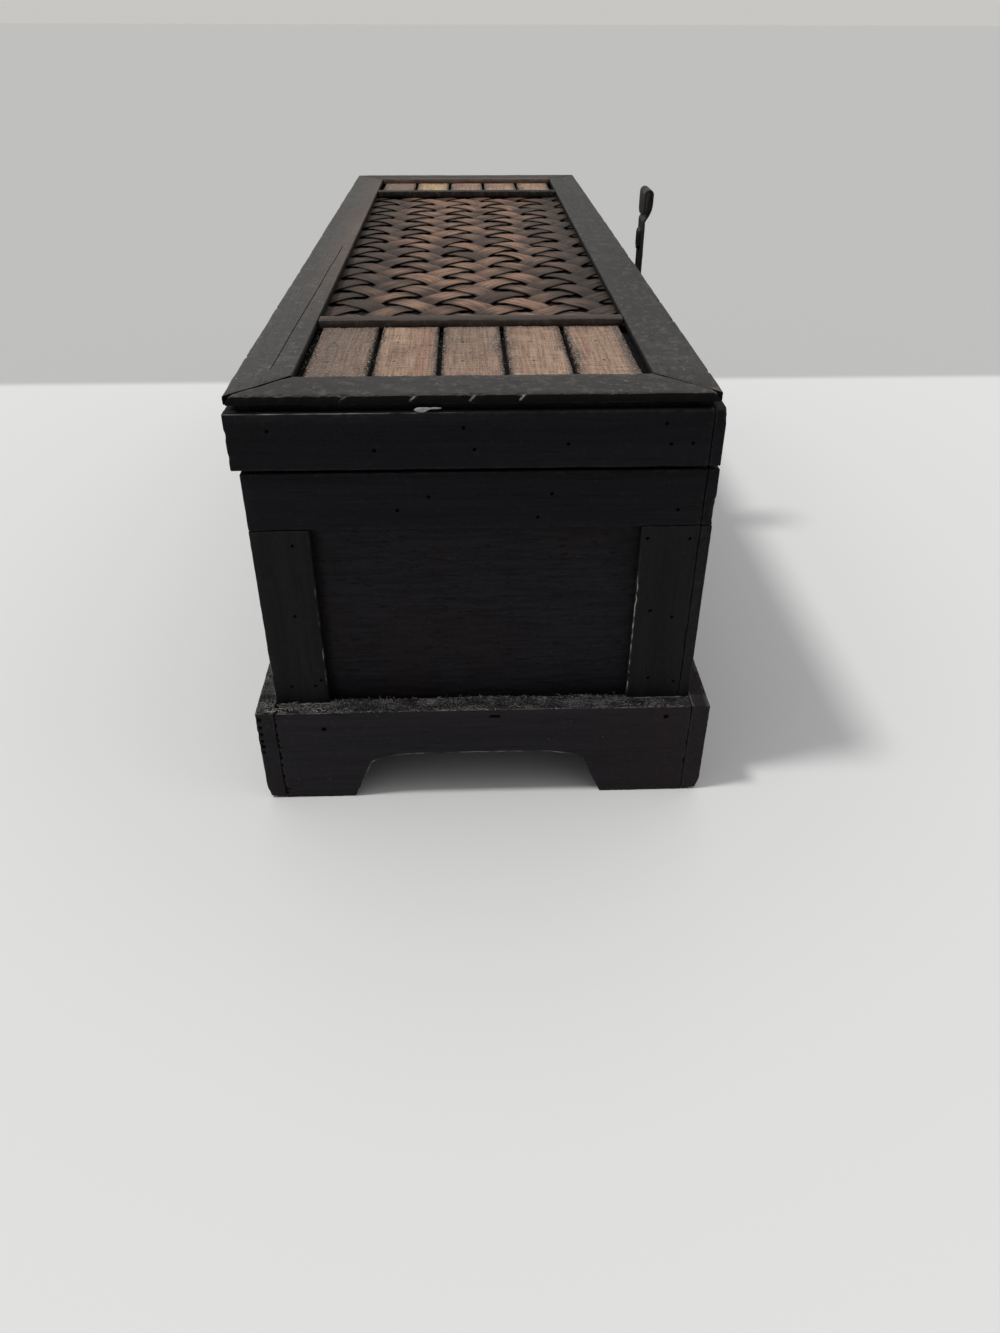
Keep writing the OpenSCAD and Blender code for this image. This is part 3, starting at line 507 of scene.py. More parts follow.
def board_mesh(low, high, radius=0.5, step=3.0, rough=0.05, pits=(), chips=(), crack=None, extra=None, seed=0,
               warp=None, edge_rough=0.12, steps=None, marks=None, pit=0.8):
    """A board with softened, uneven edges, brad holes, chips and a crack, all inside its box.

    A chip is (place, radius, depth, direction) and may end with a share of black, painted shade down in the
    chip. A crack is (x, start, end, depth, slope), in the upper face, near a line along Y; its middle line is
    painted black as shade. Marks are functions that give an attribute from places on the plain board. Gives
    points, faces and attributes.
    """
    low, high = np.array(low, float), np.array(high, float)
    more = [list((extra or {}).get(axis, ())) for axis in (X, Y, Z)]
    for axis, _, middle in pits:
        for other in (X, Y, Z):
            if other != axis:
                more[other] += [middle[other] + pit * d for d in PIT_LINES]
    for place, size, *_ in chips:
        for axis in (X, Y, Z):
            more[axis] += [place[axis] + size * f for f in CHIP_LINES]
    if crack:
        more[X] += [crack[0] - CRACK_HALF, crack[0], crack[0] + CRACK_HALF]
    steps = steps or (step,) * 3
    flat, faces = shell(*(grid_lines(low[a], high[a], min(radius, (high[a] - low[a]) / 3), steps[a], more[a])
                          for a in (X, Y, Z)))
    edge = np.sort(np.minimum(flat - low, high - flat), axis=1)[:, 1]
    r = radius * (1 + 0.5 * noise(flat, 7, seed + 1) + 0.3 * noise(flat, 1.8, seed + 2))
    r = np.clip(r, 0.06, (high - low).min() / 2.2)[:, None]
    core = np.clip(flat, low + r, high - r)
    normal = flat - core
    normal /= np.maximum(np.linalg.norm(normal, axis=1, keepdims=True), 1e-9)
    uneven = rough * (0.5 + 0.5 * noise(flat, (9, 9, 9), seed + 3))
    uneven += edge_rough * (0.5 + 0.5 * noise(flat, 0.9, seed + 4)) * ease(edge, 1.2, 0.0)
    p = core + normal * r - normal * uneven[:, None]
    black_and_shade = np.zeros(len(p))
    for axis, side, middle in pits:
        face = high[axis] if side > 0 else low[axis]
        others = [n for n in (X, Y, Z) if n != axis]
        away = np.hypot(*(flat[:, n] - middle[n] for n in others))
        inside = np.abs(flat[:, axis] - face) < ON_FACE
        p[:, axis] -= side * inside * PIT_DEPTH * ease(away, 0.57 * pit, 0.45 * pit)
        # The inside of each brad hole is painted black: painted shade
        black_and_shade = np.maximum(black_and_shade, inside * ease(away, 0.62 * pit, 0.4 * pit))
    for place, size, depth, direction, *black in chips:
        away = np.linalg.norm(flat - np.array(place), axis=1)
        push = depth * ease(away, size, 0.0) * (0.75 + 0.25 * noise(flat, 0.5, seed + 5))
        p += push[:, None] * (np.array(direction, float) / np.linalg.norm(direction))
        # Painted shade: the chip is blackened inside by this share
        if black:
            black_and_shade = np.maximum(black_and_shade, black[0] * ease(away, 0.8 * size, 0.3 * size))
    if crack:
        x, start, end, depth, slope = crack
        off, run = flat[:, X] - x, flat[:, Y]
        upper = np.abs(flat[:, Z] - high[Z]) < ON_FACE
        line = np.stack([run, 0 * run, 0 * run], axis=1)
        shift = slope * (run - (start + end) / 2) + CRACK_WANDER * noise(line, CRACK_RIPPLE, seed + 6)
        p[:, X] += upper * shift * ease(np.abs(off), 2.6, 0.3)
        middle = upper * (np.abs(off) < ON_FACE)
        middle = middle * ease(run, start - 1, start + 2) * ease(run, end + 1, end - 8)
        p[:, Z] -= middle * depth
        # Painted shade: the crack's middle line is black
        black_and_shade = np.maximum(black_and_shade, middle)
    attributes = {"wear": np.clip(1 - edge / 2.0, 0, 1)}
    for key, mark in (marks or {}).items():
        attributes[key] = np.clip(mark(flat), 0, 1)
    attributes["black_and_shade"] = np.maximum(black_and_shade, attributes.get("black_and_shade", 0))
    return p if warp is None else warp(p, flat), faces, attributes


def board(node, look, holes=True, **options):
    """The board in the place of a CAD node."""
    low, high = span(node)
    p, faces, attributes = board_mesh(low, high, pits=pits_of(low, high) if holes else (), **options)
    build(node + "_board", p, faces, looks[look], BODY_OF[node], [node], attributes)


# Base boards, with the cut-out's outline

base_low, base_high = span("base_front", "base_back", "base_left", "base_right")
WIDTH, LENGTH, BASE_TOP = base_high[X] - base_low[X], base_high[Y] - base_low[Y], base_high[Z]
NEAR = base_low[Y]
BOX_SIDE, BOX_NEAR = span("base_left")[1][:2]
# The feet's lengths, and the cut-out: its slanted ends, its corners, its height, its curves and its offset
END_FOOT, SIDE_FOOT, LEAN, CORNER_Z, ARCH_H, CURVE_W, ARCH_OFF = 27.5, 40.0, 5.0, 11.5, 15.7, 17.0, 2.0


def arch(places, reach):
    """Height of the cut-out at some distances from the board's middle."""
    u = np.abs(places)
    slope = CORNER_Z * (reach - u) / LEAN
    curve = np.clip((reach - LEAN - u) / CURVE_W, 0, 1)
    rise = CORNER_Z + (ARCH_H - CORNER_Z) * np.sqrt(1 - (1 - curve) ** 2)
    return np.where(u >= reach, 0, np.where(u > reach - LEAN, slope, rise))


def torn_top(q):
    """The upper face of a base board is torn and fuzzy, less so along the front at the right end, which is
    left dark as painted shade.
    """
    return ease(q[:, Z], BASE_TOP - 0.3, BASE_TOP) * (0.8 + 0.3 * noise(q, 5, 17)) * ease(q[:, X], 62, 50)


def base_board(side, along, marks=None, off=0.0, **options):
    """A base board: a plain board, whose lower part is squashed up to the cut-out's outline."""
    low, high = span("base_" + side)
    reach = WIDTH / 2 - END_FOOT if along == X else LENGTH / 2 - SIDE_FOOT
    corners = [reach, reach - 0.5 * LEAN]
    corners += [reach - LEAN - CURVE_W * f for f in (0, 0.04, 0.12, 0.25, 0.45, 0.7, 1)]
    extra = {along: [off + s * m for m in corners for s in (-1, 1)], Z: (0.5, 0.8)}
    if along == X:
        extra[X] += [s * (BOX_SIDE - d) for d in (0.6, 0.9, 1.3, 1.8) for s in (-1, 1)]

    def warp(p, flat):
        run = p[:, along] - off
        bottom = arch(run, reach) + 0.15 * noise(flat, 2.5, 31) * (np.abs(run) < reach - LEAN)
        out = p.copy()
        out[:, Z] = bottom + p[:, Z] / high[Z] * (high[Z] - bottom)
        out[:, Z] -= ease(flat[:, Z], high[Z] - 0.4, high[Z]) * 0.3 * (0.5 + 0.5 * noise(flat, 0.8, 32))
        return out

    def chalk(q):
        """A pale broken line round the cut-out's edge, and pale fibres along the top edge."""
        across = q[:, 1 - along]
        outer = np.minimum(np.abs(across - low[1 - along]), np.abs(across - high[1 - along]))
        lower = ease(q[:, Z], 0.8, 0.5) * (np.abs(q[:, along] - off) < reach)
        lower *= 0.6 + 1.0 * noise(q, (2.6, 2.6, 50), 33)
        upper = 0.7 * ease(outer, 0.3, 0.0) * ease(q[:, Z], high[Z] - 0.2, high[Z])
        return np.maximum(ease(outer, 0.4, 0.1) * lower, upper)

    board("base_" + side, "base_" + "xy"[along], extra=extra, warp=warp, pit=1.35,
          marks={"torn": torn_top, "chalk": chalk, **(marks or {})}, **options)


def corner_chips(x):
    """The feet's lower corners are worn off."""
    return [((x, y, 0.0), 4.5, 1.5, (-np.sign(x), 0, 0.9)) for y in (NEAR, -NEAR)]


def ragged_joint(q):
    """At the back, where the end boards meet the long one, their edges are split and black."""
    reach = 2.0 * np.maximum(noise(q, (50, 50, 1.6), 61) - 0.1, 0)
    reach += 1.8 * np.maximum(noise(q, (50, 50, 0.7), 62) - 0.15, 0)
    return ease(BOX_SIDE - np.abs(q[:, X]), reach + 0.15, reach) * (q[:, X] < 0)


# The near base board's middle hole is a slot, and its ends are split. The back board's end is split too. The
# chips are painted black inside: painted shade
SLOT_CHIPS = [((x, NEAR, 25.9), 1.3, 1.2, (0, 1, 0), 1.0) for x in (2.2, 3.0, 3.8)]
SPLITS = [((side * BOX_SIDE, NEAR, z), size, 0.5, (-side, 0.6, 0), 1.0) for side, z, size in (
    (-1, 26.5, 0.8), (-1, 23.4, 0.9), (-1, 19.6, 0.7), (-1, 15.0, 1.1), (-1, 12.2, 0.8), (-1, 8.1, 1.0),
    (-1, 4.4, 0.6), (1, 17.8, 0.6), (1, 11.0, 0.9), (1, 6.3, 0.6))]
BACK_SPLITS = [((-62.6, NEAR, z), size, 0.7, (0.3, 1, 0), 1.0) for z, size in (
    (28.6, 1.5), (26.0, 1.2), (23.6, 1.4), (21.2, 1.1), (19.2, 1.5), (17.2, 1.0))]
base_board("left", X, off=-ARCH_OFF, radius=0.12, seed=11, steps=(0.8, 0.9, 0.5), edge_rough=0.3,
           chips=SLOT_CHIPS + SPLITS, marks={"black_and_shade": ragged_joint})
base_board("right", X, off=ARCH_OFF, seed=12, edge_rough=0.25)
base_board("front", Y, radius=0.18, step=3.2, seed=13, edge_rough=0.2, chips=corner_chips(63.5))
base_board("back", Y, radius=0.18, step=3.2, seed=14, edge_rough=0.25,
           chips=corner_chips(-63.5) + BACK_SPLITS)

# Bands, stiles and rims


def rim_line(q):
    """The near rim's top edge is rubbed pale at its left half."""
    low, high = span("rim_left")
    near = ease(q[:, Y], low[Y] + 0.3, low[Y] + 0.05) * ease(q[:, Z], high[Z] - 0.35, high[Z] - 0.05)
    return near * ease(q[:, X], 2, -16) * (0.45 + 0.8 * noise(q, (3.5, 9, 9), 25))


def chalk_line(x, seed, low, high, strength=0.55):
    """A thin, broken, pale line along an upright edge of a near stile, between two heights."""
    return lambda q: (
        ease(np.abs(q[:, X] - x), 0.4, 0.1) * ease(q[:, Y], BOX_NEAR + 0.5, BOX_NEAR + 0.1)
        * ease(q[:, Z], high + 4, high) * ease(q[:, Z], low - 4, low)
        * (strength + 1.1 * noise(q, (9, 9, 1.7), 23 + seed)))


BOARD_CHIPS = {
    "band_front": [((BOX_SIDE, BOX_NEAR, z), size, 0.8, (-0.5, 1, 0)) for z, size in (
        (90.4, 1.5), (88.2, 2.2), (85.6, 2.6))],
    "rim_front": [((58.0, -181.5, z), size, depth, (-1, 0.5, down)) for z, size, depth, down in (
        (114.2, 2.2, 1.0, -0.6), (112.0, 1.3, 0.5, 0))],
    "rim_left": [((-60.0, -181.5, z), size, depth, (1, 0.6, 0)) for z, size, depth in (
        (109.0, 1.6, 0.35), (103.5, 1.4, 0.3))],
}
for seed, side in enumerate(("front", "back", "left", "right")):
    for start, part, radius in ((20, "band_", 0.45), (30, "rim_", 0.32)):
        node = part + side
        board(node, "board_" + ("y" if side in ("front", "back") else "x"), radius=radius, seed=start + seed,
              chips=BOARD_CHIPS.get(node, ()), marks={"chalk": rim_line} if node == "rim_left" else None)

for seed, node in enumerate(sorted(n for n in frame["nodes"] if n.startswith("stile_"))):
    low, high = span(node)
    chips, lines = (), ()
    if node == "stile_left_front":
        chips = [((low[X], BOX_NEAR, z), size, 0.45, (1, 0.6, 0)) for z, size in (
            (66.0, 2.2), (62.5, 1.8), (37.5, 1.6))]
        lines = (1.0, chalk_line(low[X], 1, 36, 54)), (1.0, chalk_line(low[X], 4, 55, 67, 1.0))
    if node == "stile_left_back":
        lines = (0.8, chalk_line(low[X], 2, 35, 52)), (0.6, chalk_line(high[X], 3, 40, 66))
    board(node, "stile_z", radius=0.4, seed=40 + seed, chips=chips, steps=(3, 3, 0.7) if lines else None,
          marks={"chalk": lambda q, lines=lines: np.max([share * line(q) for share, line in lines], axis=0)}
          if lines else None)

# Top frame: mitred rails

frame_low, frame_high = span("rail_front", "rail_back", "rail_left", "rail_right")
FRAME_MID = (frame_low + frame_high) / 2
SIDE_RAIL_W, END_RAIL_W = 14.0, 14.7
CORNER = (56.6, -180.6, 118.1)


def thin(depth, q):
    """How far a mitre gapes at some depths from the outer face: here it is thin all along."""
    return 0.08 + 0.1 * depth + 0.06 * noise(q, 3, 47)


def torn_mitre(depth, q):
    """Wide, black and ragged."""
    return 0.3 + 0.1 * depth + 0.22 * noise(q, 1.4, 48) + 0.5 * ease(depth, 0.9, 1.0)


def half_shut(depth, q):
    """Shut at its outer half and open further in."""
    return 0.02 + 0.22 * ease(depth, 0.4, 0.6)


def rail(side, along, look, mark, mitres=(thin, thin), inner_shade=0.85, **options):
    """A rail is made as a plain board and then narrowed towards its inner edge to form the mitres."""
    low, high = span("rail_" + side)
    across = 1 - along
    inner_is_high = (low[across] + high[across]) / 2 < FRAME_MID[across]
    width = high[across] - low[across]
    other_width = END_RAIL_W if along == Y else SIDE_RAIL_W
    half = (high[along] - low[along]) / 2
    middle = FRAME_MID[along]

    def inwards(q):
        """Distance from the outer face."""
        return q[:, across] - low[across] if inner_is_high else high[across] - q[:, across]

    def warp(p, flat):
        out = p.copy()
        depth = inwards(p) / width
        open_line = np.where(p[:, along] < middle, mitres[0](depth, flat), mitres[1](depth, flat))
        out[:, along] = middle + (p[:, along] - middle) / half * (half - other_width * depth - open_line)
        return out

    def black_and_shade(q):
        """The upright faces are painted black below the worn top edge, and the inner faces too: painted shade
        beside the lit top. The mitres are black.
        """
        upright = ease(inwards(q), 0.3, 0.05) * ease(q[:, Z], high[Z] - 0.15, high[Z] - 0.4)
        inner = ease(width - inwards(q), 0.3, 0.05) * ease(q[:, Z], high[Z] - 0.35, high[Z] - 1.0)
        mitre = ease(half - np.abs(q[:, along] - middle), 0.12, 0.0)
        return np.maximum.reduce([0.95 * upright, inner_shade * inner, mitre])

    board("rail_" + side, look, holes=False, warp=warp, marks={"black_and_shade": black_and_shade, **mark}, **options)


def rosy(q):
    """The back rail is rubbed to a rosy brown, most of all beside the weave."""
    return ease(q[:, X], -56, -47) * ease(q[:, Y], -150, 20) * (0.75 + 0.4 * noise(q, (5, 30, 5), 91))


def brown_corner(q):
    """The near front corner of the frame is worn to brown wood."""
    return ease(np.linalg.norm((q - CORNER) / [3.2, 2.4, 2.0], axis=1), 1.0, 0.4)


def painted_light_inside(q):
    """The far rail's face towards the slats is tinted pale brown evenly: painted light on this face in shade.
    """
    return ease(q[:, Y], frame_high[Y] - 14.2, frame_high[Y] - 14.6) * 0.95


NICKS = [-32.2, -15.9, -1.9, 9.7]


def nick_lines(q):
    """Short slanted scratches that show pale wood, down from the near edge; the first is faint."""
    down = frame_high[Z] - q[:, Z]
    marks = [(0.95 if i else 0.3) * ease(np.abs(q[:, X] - x - 0.2 + 0.45 * down), 0.36, 0.16)
             for i, x in enumerate(NICKS)]
    near = ease(q[:, Y], frame_low[Y] + 0.7, frame_low[Y] + 0.3) * ease(down, 2.0, 1.2)
    return np.max(marks, axis=0) * near * (0.85 + 0.4 * noise(q, 0.6, 49))


def near_chip(x, size, depth, direction):
    """A chip out of the frame's near upper edge."""
    return (x, *CORNER[1:]), size, depth, direction


def side_chips(x, ys):
    """Chips out of the frame's upper edge at one side."""
    return [((x, y, CORNER[2]), 1.8, 0.6, (-np.sign(x), 0, -1)) for y in ys]


rng = random.Random(3)
near_chips = [near_chip(x, 1.5, 0.8, (0.4, 0.6, -1)) for x in NICKS]
near_chips += [near_chip(rng.uniform(-57, 52), rng.uniform(0.6, 1.3), rng.uniform(0.2, 0.5), (0, 1, -0.6))
               for _ in range(16)]
near_chips += [near_chip(x, size, depth, (0, 1, -0.8)) for x, size, depth in (
    (-54.5, 1.6, 0.5), (-50.8, 1.2, 0.4), (-46.9, 2.1, 0.7), (-42.6, 1.3, 0.5), (-38.4, 1.7, 0.7),
    (-35.6, 1.1, 0.5), (-27.3, 1.4, 0.35))]
near_chips += [near_chip(-59.6, 2.0, 0.9, (1, 1, -1)), near_chip(CORNER[0], 2.6, 1.1, (-1, 1, -1))]
rail("left", X, "rail_x", {"tone": brown_corner, "chalk": nick_lines}, (torn_mitre, half_shut), radius=0.3,
     steps=(0.35, 2.5, 0.35), seed=51, edge_rough=0.3, rough=0.12, chips=near_chips)
rail("right", X, "rail_far", {"tone": painted_light_inside}, radius=0.35, seed=52, rough=0.12, inner_shade=0.0)
rail("front", Y, "rail_y", {"tone": brown_corner}, (half_shut, thin), radius=0.4, seed=53, rough=0.12,
     chips=side_chips(56.6, (-165, -118, -96, -30, 41, 100)))
rail("back", Y, "rail_back", {"tone": rosy}, (torn_mitre, thin), radius=0.4, seed=54, rough=0.12,
     crack=(-50.2, -168, -8, 0.6, 0.0155), chips=side_chips(-59.6, (-150, -101, -52, 12, 77, 131)))

# Crossbars and slats

for seed, side in enumerate(("left", "right")):
    board("crossbar_" + side, "bar_" + side, radius=0.45, step=2.5, seed=60 + seed, rough=0.15, holes=False)


def slats(side, tones, greys):
    """Five slats with their own tones, some of them with a share of grey."""
    node = "slats_" + side
    meshes, columns = [], []
    for i, (low, high) in enumerate(sorted(loose_parts(node), key=lambda box: box[0][X])):
        p, f, plain = board_mesh(low, high, radius=0.45, step=1.6, rough=0.1, pits=pits_of(low, high),
                                 seed=70 + 9 * i, edge_rough=0.25)
        meshes.append((p, f))
        across, length = ((p[:, axis] - low[axis]) / (high[axis] - low[axis]) for axis in (X, Y))
        edge = np.minimum(np.minimum(p[:, X] - low[X], high[X] - p[:, X]),
                          np.minimum(p[:, Y] - low[Y], high[Y] - p[:, Y]) * 0.8)
        # The sides below the top, down in the gaps between the slats, are darkened with the scorched edges:
        # painted shade
        below = ease(p[:, Z], high[Z] - 0.2, high[Z] - 0.7)
        slope = 0.5 * (across - 0.6) if tones[i] > 0.7 else 0
        columns.append((
            np.maximum.reduce([ease(edge, 1.7, 0.0) * 0.85, below, 1.4 * plain["black_and_shade"]]),
            np.clip(tones[i] + slope + 0.08 * noise(p, 14, 80 + i), 0, 1),
            greys[i](across, length) if i in greys else 0 * across,
            ease(edge + 1.6 * noise(p, (2.2, 6, 9), 84 + i), 3.0, 0.5)))
    points, faces = joined(meshes)
    build(node + "_wood", points, faces, looks["slat"], "lid", [node],
          dict(zip(("wear", "tone", "grey", "singe"), map(np.concatenate, zip(*columns)))))


slats("left", [0.12, 0.5, 0.34, 0.52, 0.44], {
    0: lambda across, length: 0.25 + 0.3 * ease(across, 0.9, 0.1),
    2: lambda across, length: 0.3 * ease(length, 0.3, 0.8),
    4: lambda across, length: 0.8 * ease(across, 0.83, 0.88)})
slats("right", [0.3, 1.0, 0.6, 0.55, 0.62], {0: lambda across, length: 0.3 + 0 * across})

# Woven splints

WEAVE_X, WEAVE_Y, WEAVE_START, SPLINT_W, SPLINT_T = 17.2, 18.2, -65.4, 8.5, 0.42
STEP = math.hypot(WEAVE_X, WEAVE_Y) / 2
PITCH = WEAVE_X * WEAVE_Y / math.hypot(WEAVE_X, WEAVE_Y)
HALF_CROSS = SPLINT_W / PITCH / 2
# How far a splint lies from the weave's middle height at a crossing, and how much more at its middle
LIFT, CROWN = 0.26, 0.06
WARM_SPOTS = [(-16.7, -47.4), (-8.5, -72.6)]
# A splint's mesh: places tried and lines kept across it, the step along it, the gap to the CAD one's
# ends and the shortest piece
TRIED, LINES, GRID_STEP, END_GAP, SHORTEST = 61, 9, 1.1, 0.05, 0.8
# The frame holds the splints flat this far in from the weave's box
HELD_X, HELD_Y = 3.0, 2.5
SPARE_SPLINTS = 5
weave_low, weave_high = span("splints_rising")
WEAVE_Z = (weave_low[Z] + weave_high[Z]) / 2


def wave(u):
    """Height of a splint's middle line: it is on top where u is even."""
    v = np.abs(u - 2 * np.round(u / 2))
    over = LIFT + CROWN * np.cos(np.pi / 2 * np.minimum(v / HALF_CROSS, 1))
    under = -LIFT - CROWN * np.cos(np.pi / 2 * np.minimum((1 - v) / HALF_CROSS, 1))
    between = LIFT * np.cos(np.pi * np.clip((v - HALF_CROSS) / (1 - 2 * HALF_CROSS), 0, 1))
    return np.where(v <= HALF_CROSS, over, np.where(v >= 1 - HALF_CROSS, under, between))


def splint_strip(start_y, angle, shift, seed, rng):
    """One splint, cut off where the CAD one is: points, faces and what its material needs."""
    c, s = math.cos(angle), math.sin(angle)

    def ends(v):
        # Along the splint, x = FRAME_MID[X] + t c - v s and y = start_y + t s + v c
        t0, t1 = np.full(len(v), -1e9), np.full(len(v), 1e9)
        for axis, base, slope in ((X, FRAME_MID[X] - v * s, c), (Y, start_y + v * c, s)):
            a, b = (weave_low[axis] - base) / slope, (weave_high[axis] - base) / slope
            t0, t1 = np.maximum(t0, np.minimum(a, b)), np.minimum(t1, np.maximum(a, b))
        return t0, t1

    edges = np.linspace(-SPLINT_W / 2, SPLINT_W / 2, TRIED)
    t0, t1 = ends(edges)
    kept = edges[t1 - t0 > SHORTEST]
    if len(kept) < 6:
        return None
    v = kept[0] + (kept[-1] - kept[0]) * (0.5 - 0.49 * np.cos(np.linspace(0, np.pi, LINES)))
    t0, t1 = ends(v)
    t0, t1 = t0 + END_GAP, t1 - END_GAP
    share = np.linspace(0, 1, max(4, int(np.max(t1 - t0) / GRID_STEP)) + 1)
    t = t0[None, :] + share[:, None] * (t1 - t0)[None, :]
    shape = t.shape
    vv = np.broadcast_to(v[None, :], shape)
    u = t / STEP + shift
    flat = np.stack([FRAME_MID[X] + t * c - vv * s, start_y + t * s + vv * c, 0 * t], axis=-1)
    line = np.stack([t, np.full_like(t, seed * 40.0), 0 * t], axis=-1).reshape(-1, 3)

    def along(size, seed):
        return noise(line, size, seed).reshape(shape)

    across = vv * (rng.uniform(0.86, 1.0) + 0.08 * along(17, 6)) + 1.1 * along(23, 5)
    rim = np.abs(vv) / (SPLINT_W / 2)
    near = np.abs(u - 2 * np.round(u / 2))
    float_share = ease(near, 0.62, 0.0)
    room = np.minimum.reduce([
        flat[..., X] - weave_low[X] - HELD_X, weave_high[X] - HELD_X - flat[..., X],
        flat[..., Y] - weave_low[Y] - HELD_Y, weave_high[Y] - HELD_Y - flat[..., Y]])
    free = ease(room, 0.5, 7.0)
    height = WEAVE_Z + wave(u)
    height += free * float_share * (0.08 + 0.1 * rng.uniform(-1, 1))
    height -= (0.06 + 0.08 * free * float_share) * rim ** 2.2
    height += free * 0.1 * noise(flat.reshape(-1, 3) + [0, 0, seed * 9.0], 6, 8).reshape(shape)
    height += free * 0.05 * along(12, 9) * vv * float_share
    x, y = FRAME_MID[X] + t * c - across * s, start_y + t * s + across * c
    thick = SPLINT_T * (1 - 0.55 * rim ** 3)
    points = np.concatenate([
        np.stack([x, y, height + side * thick / 2], axis=-1).reshape(-1, 3) for side in (1, -1)])
    lie = np.stack([t, vv + seed * 31.0, 0 * t + seed * 7.0], axis=-1).reshape(-1, 3)
    warm = 0.4 * sum(ease(np.hypot(flat[..., X] - x, flat[..., Y] - y), 9, 3) for x, y in WARM_SPOTS)
    warm += 0.22 * ease(flat[..., Y], -75, -105) * ease(np.abs(flat[..., X] + 3), 34, 16)
    # Lighter on top of each float: a painted highlight, over tone that differs at random
    tone = (0.34 + 0.45 * float_share + 0.4 * along(15, 12) + warm).reshape(-1)
    # Painted shade: darker along the edges, where a splint dives under the next, and more so on the underside
    wear = (ease(rim, 0.8, 1.0) * 0.8 + ease(near, 0.4, 0.75) * 0.65).reshape(-1)
    return points, slab_faces(*shape), {
        "lie": np.concatenate([lie, lie]), "tone": np.concatenate([tone, tone]),
        "wear": np.clip(np.concatenate([wear, wear + 0.3]), 0, 1)}


def weave(direction, angle, shift, tone_shift):
    """One layer of splints, each a little lighter or darker than the next."""
    rng = random.Random(90 + shift)
    node = "splints_" + direction
    first = math.floor((weave_low[Y] - WEAVE_START) / WEAVE_Y) - SPARE_SPLINTS
    last = math.ceil((weave_high[Y] - WEAVE_START) / WEAVE_Y) + SPARE_SPLINTS
    strips = []
    for i in range(first, last + 1):
        strip = splint_strip(WEAVE_START + i * WEAVE_Y, angle, shift, i + 50 * shift, rng)
        tone = tone_shift + rng.uniform(-0.28, 0.28)
        if strip is not None:
            strip[2]["tone"] += tone
            strips.append(strip)
    points, faces = joined([strip[:2] for strip in strips])
    attributes = {key: np.concatenate([strip[2][key] for strip in strips]) for key in ("lie", "tone", "wear")}
    build(node + "_wood", points, faces, looks["splint"], "lid", [node], attributes, sharp=50)


ANGLE = math.atan2(WEAVE_Y, WEAVE_X)
weave("rising", ANGLE, 1, -0.06)
weave("falling", -ANGLE, 0, 0.1)

# Hasp: an arm cut from sheet iron, with a slot in a raised rim and a curled tip

pin_low, pin_high = span("hasp_pin")
PIN_X, HASP_Y, PIN_Z = (pin_low + pin_high) / 2
SHEET, ARM_L, ARM_W, KNUCKLE_R, KNUCKLE_W, NECK_L = 0.8, 20.6, 11.4, 1.6, 5.5, 3.0
ARM_X = PIN_X + KNUCKLE_R - SHEET / 2
# The lower bend's radius and angle, how far the head is set out, and the curl's radius, rise and tail
BEND_R, BEND_A, HEAD_OUT, CURL_R, CURL_RISE, CURL_TAIL = 2.0, math.radians(38), 2.35, 1.3, 2.6, 6.9
SLOT_MID, SLOT_L, SLOT_W, SLOT_RIM, SLOT_RIM_H = 14.8, 5.8, 2.2, 1.1, 1.2
TIP_ROUND = 3.0


def arm_line():
    """Middle line of the arm's sheet, bent out, back upright and rolled over.

    Gives x and z at places along it, and the places.
    """
    back_r = HEAD_OUT / (1 - math.cos(BEND_A)) - BEND_R
    bend_z = PIN_Z + ARM_L
    back_z = bend_z + (BEND_R + back_r) * math.sin(BEND_A)
    head_x = ARM_X + HEAD_OUT
    curl_x, curl_z = head_x - CURL_R, back_z + CURL_RISE
    line = [(ARM_X, PIN_Z), (ARM_X, bend_z)]
    for x, z, r, angles in ((ARM_X + BEND_R, bend_z, -BEND_R, -np.linspace(0.14, BEND_A, 5)),
                            (head_x - back_r, back_z, back_r, -np.linspace(BEND_A, 0, 9)[1:]),
                            (curl_x, curl_z, CURL_R, np.linspace(0, math.pi, 19))):
        line += [(x + r * math.cos(a), z + r * math.sin(a)) for a in angles]
    line = np.array(line + [(curl_x - CURL_R, curl_z - CURL_TAIL)])
    length = np.concatenate([[0], np.cumsum(np.linalg.norm(np.diff(line, axis=0), axis=1))])
    places = np.unique(np.concatenate([np.arange(0, length[-1], 0.3), [NECK_L, length[-1]]]))
    return np.stack([np.interp(places, length, line[:, i]) for i in (0, 1)], axis=1), places


def slot_distance(s, v):
    """Distance from the slot's outline: less than 0 inside it."""
    run = np.maximum(np.abs(s - SLOT_MID) - (SLOT_L - SLOT_W) / 2, 0)
    return np.hypot(run, v) - SLOT_W / 2


